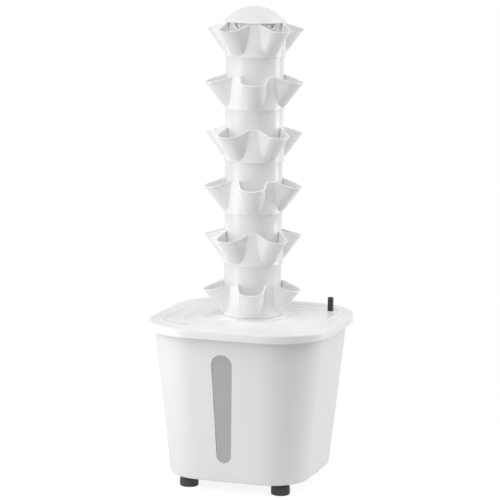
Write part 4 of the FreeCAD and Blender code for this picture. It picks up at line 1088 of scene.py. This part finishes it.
def plated_metal_group():
    """Plated steel: crystals of zinc and dull spots."""
    group, start, end = new_group(
        "Plated metal",
        [("Colour", "NodeSocketColor", (0.6, 0.6, 0.6, 1)),
         ("Roughness", "NodeSocketFloat", 0.3),
         ("Crystal Scale", "NodeSocketFloat", 400.0),
         ("Dullness", "NodeSocketFloat", 0.25)],
        [("Colour", "NodeSocketColor"), ("Roughness", "NodeSocketFloat"),
         ("Height", "NodeSocketFloat")])
    place = group.nodes.new("ShaderNodeTexCoord").outputs["Object"]
    crystals = group.nodes.new("ShaderNodeTexVoronoi")
    group.links.new(place, crystals.inputs["Vector"])
    group.links.new(start.outputs["Crystal Scale"], crystals.inputs["Scale"])
    spots = noise(group, place, scale=160.0, detail=4.0, rough=0.6)
    tone = drift(group, crystals.outputs["Distance"], amount=0.2, middle=1.0)
    group.links.new(shade_colour(group, start.outputs["Colour"], tone), end.inputs["Colour"])
    gloss = drift(group, spots, start.outputs["Dullness"], start.outputs["Roughness"])
    group.links.new(gloss, end.inputs["Roughness"])
    group.links.new(math_node(group, "ADD", crystals.outputs["Distance"], spots),
                    end.inputs["Height"])
    return group


def foam_group():
    """Closed foam: small cells with darker seams between them."""
    group, start, end = new_group(
        "Closed foam",
        [("Colour", "NodeSocketColor", (0.75, 0.75, 0.75, 1)),
         ("Cell Scale", "NodeSocketFloat", 700.0),
         ("Seam", "NodeSocketFloat", 0.25)],
        [("Colour", "NodeSocketColor"), ("Height", "NodeSocketFloat")])
    place = group.nodes.new("ShaderNodeTexCoord").outputs["Object"]
    cells = group.nodes.new("ShaderNodeTexVoronoi")
    cells.feature = "DISTANCE_TO_EDGE"
    group.links.new(place, cells.inputs["Vector"])
    group.links.new(start.outputs["Cell Scale"], cells.inputs["Scale"])
    seam_width = 0.3
    seam = math_node(group, "SUBTRACT", seam_width, cells.outputs["Distance"])
    seam = math_node(group, "MAXIMUM", seam, 0.0)
    seam = math_node(group, "MULTIPLY", seam, start.outputs["Seam"])
    tone = math_node(group, "SUBTRACT", 1.0, seam)
    group.links.new(shade_colour(group, start.outputs["Colour"], tone), end.inputs["Colour"])
    group.links.new(cells.outputs["Distance"], end.inputs["Height"])
    return group


def finish_material(finish, groups, colours):
    """A finish: its node group's colour, gloss and relief on one shader."""
    name, kind, depth, tint, values = FINISHES[finish]
    material = bpy.data.materials.new(name)
    material.use_nodes = True
    tree = material.node_tree
    shader = tree.nodes["Principled BSDF"]
    shader.inputs["Metallic"].default_value = 1.0 if kind == "metal" else 0.0
    skin = tree.nodes.new("ShaderNodeGroup")
    skin.node_tree = groups[kind]
    if isinstance(tint, str):
        skin.inputs["Colour"].default_value = getattr(colours, tint)
    else:
        skin.inputs["Colour"].default_value = (tint, tint, tint, 1)
    for label, value in values.items():
        skin.inputs[label].default_value = value
    tree.links.new(skin.outputs["Colour"], shader.inputs["Base Color"])
    if "Roughness" in skin.outputs:
        tree.links.new(skin.outputs["Roughness"], shader.inputs["Roughness"])
    bump = tree.nodes.new("ShaderNodeBump")
    bump.inputs["Strength"].default_value = BUMP_STRENGTH
    bump.inputs["Distance"].default_value = depth * MM
    tree.links.new(skin.outputs["Height"], bump.inputs["Height"])
    tree.links.new(bump.outputs["Normal"], shader.inputs["Normal"])
    return material


class PLANTER_OT_finishes(bpy.types.Operator):
    """Make each finish, and give it to the frame's nodes"""

    bl_idname = "planter.finishes"
    bl_label = "Finishes"

    def execute(self, context):
        colours = context.scene.planter_colours
        groups = {"skin": moulded_skin_group(), "metal": plated_metal_group(),
                  "foam": foam_group()}
        made = {finish: finish_material(finish, groups, colours) for finish in FINISHES}
        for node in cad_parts.values():
            for holder in node.material_slots:
                holder.material = made[holder.material.name.split(".")[0]]
        return {"FINISHED"}


class PLANTER_PT_sidebar(bpy.types.Panel):
    """The planter tower's steps, in the order in which they run, and its settings"""

    bl_label = "Planter tower"
    bl_idname = "PLANTER_PT_sidebar"
    bl_space_type = "VIEW_3D"
    bl_region_type = "UI"
    bl_category = "Planter"

    def draw(self, context):
        for step in STEPS:
            self.layout.operator(step.bl_idname)
        for name in GROUPS:
            box = self.layout.box()
            settings = getattr(context.scene, name)
            for entry in settings.bl_rna.properties:
                if entry.identifier not in ("rna_type", "name"):
                    box.prop(settings, entry.identifier)


GROUPS = {
    "planter_colours": PlanterColours,
    "planter_tier": PlanterTier,
    "planter_top": PlanterTop,
    "planter_lid": PlanterLid,
    "planter_window": PlanterWindow,
    "planter_stage": PlanterStage,
}
STEPS = (PLANTER_OT_finishes, PLANTER_OT_tiers, PLANTER_OT_cap, PLANTER_OT_spreader_rims,
         PLANTER_OT_lid, PLANTER_OT_window, PLANTER_OT_stage)
CLASSES = (*GROUPS.values(), *STEPS, PLANTER_PT_sidebar)


def register():
    """Make the operators, the panel and the settings known."""
    for kind in CLASSES:
        bpy.utils.register_class(kind)
    for name, kind in GROUPS.items():
        setattr(bpy.types.Scene, name, PointerProperty(type=kind))


def unregister():
    """Take the operators, the panel and the settings away again."""
    for name in GROUPS:
        delattr(bpy.types.Scene, name)
    for kind in reversed(CLASSES):
        bpy.utils.unregister_class(kind)


def main():
    """Make the planter tower's looks and its stage."""
    register()
    bpy.ops.planter.finishes()
    bpy.ops.planter.tiers()
    bpy.ops.planter.cap()
    bpy.ops.planter.spreader_rims()
    bpy.ops.planter.lid()
    bpy.ops.planter.window()
    bpy.ops.planter.stage()


if __name__ == "__main__":
    main()
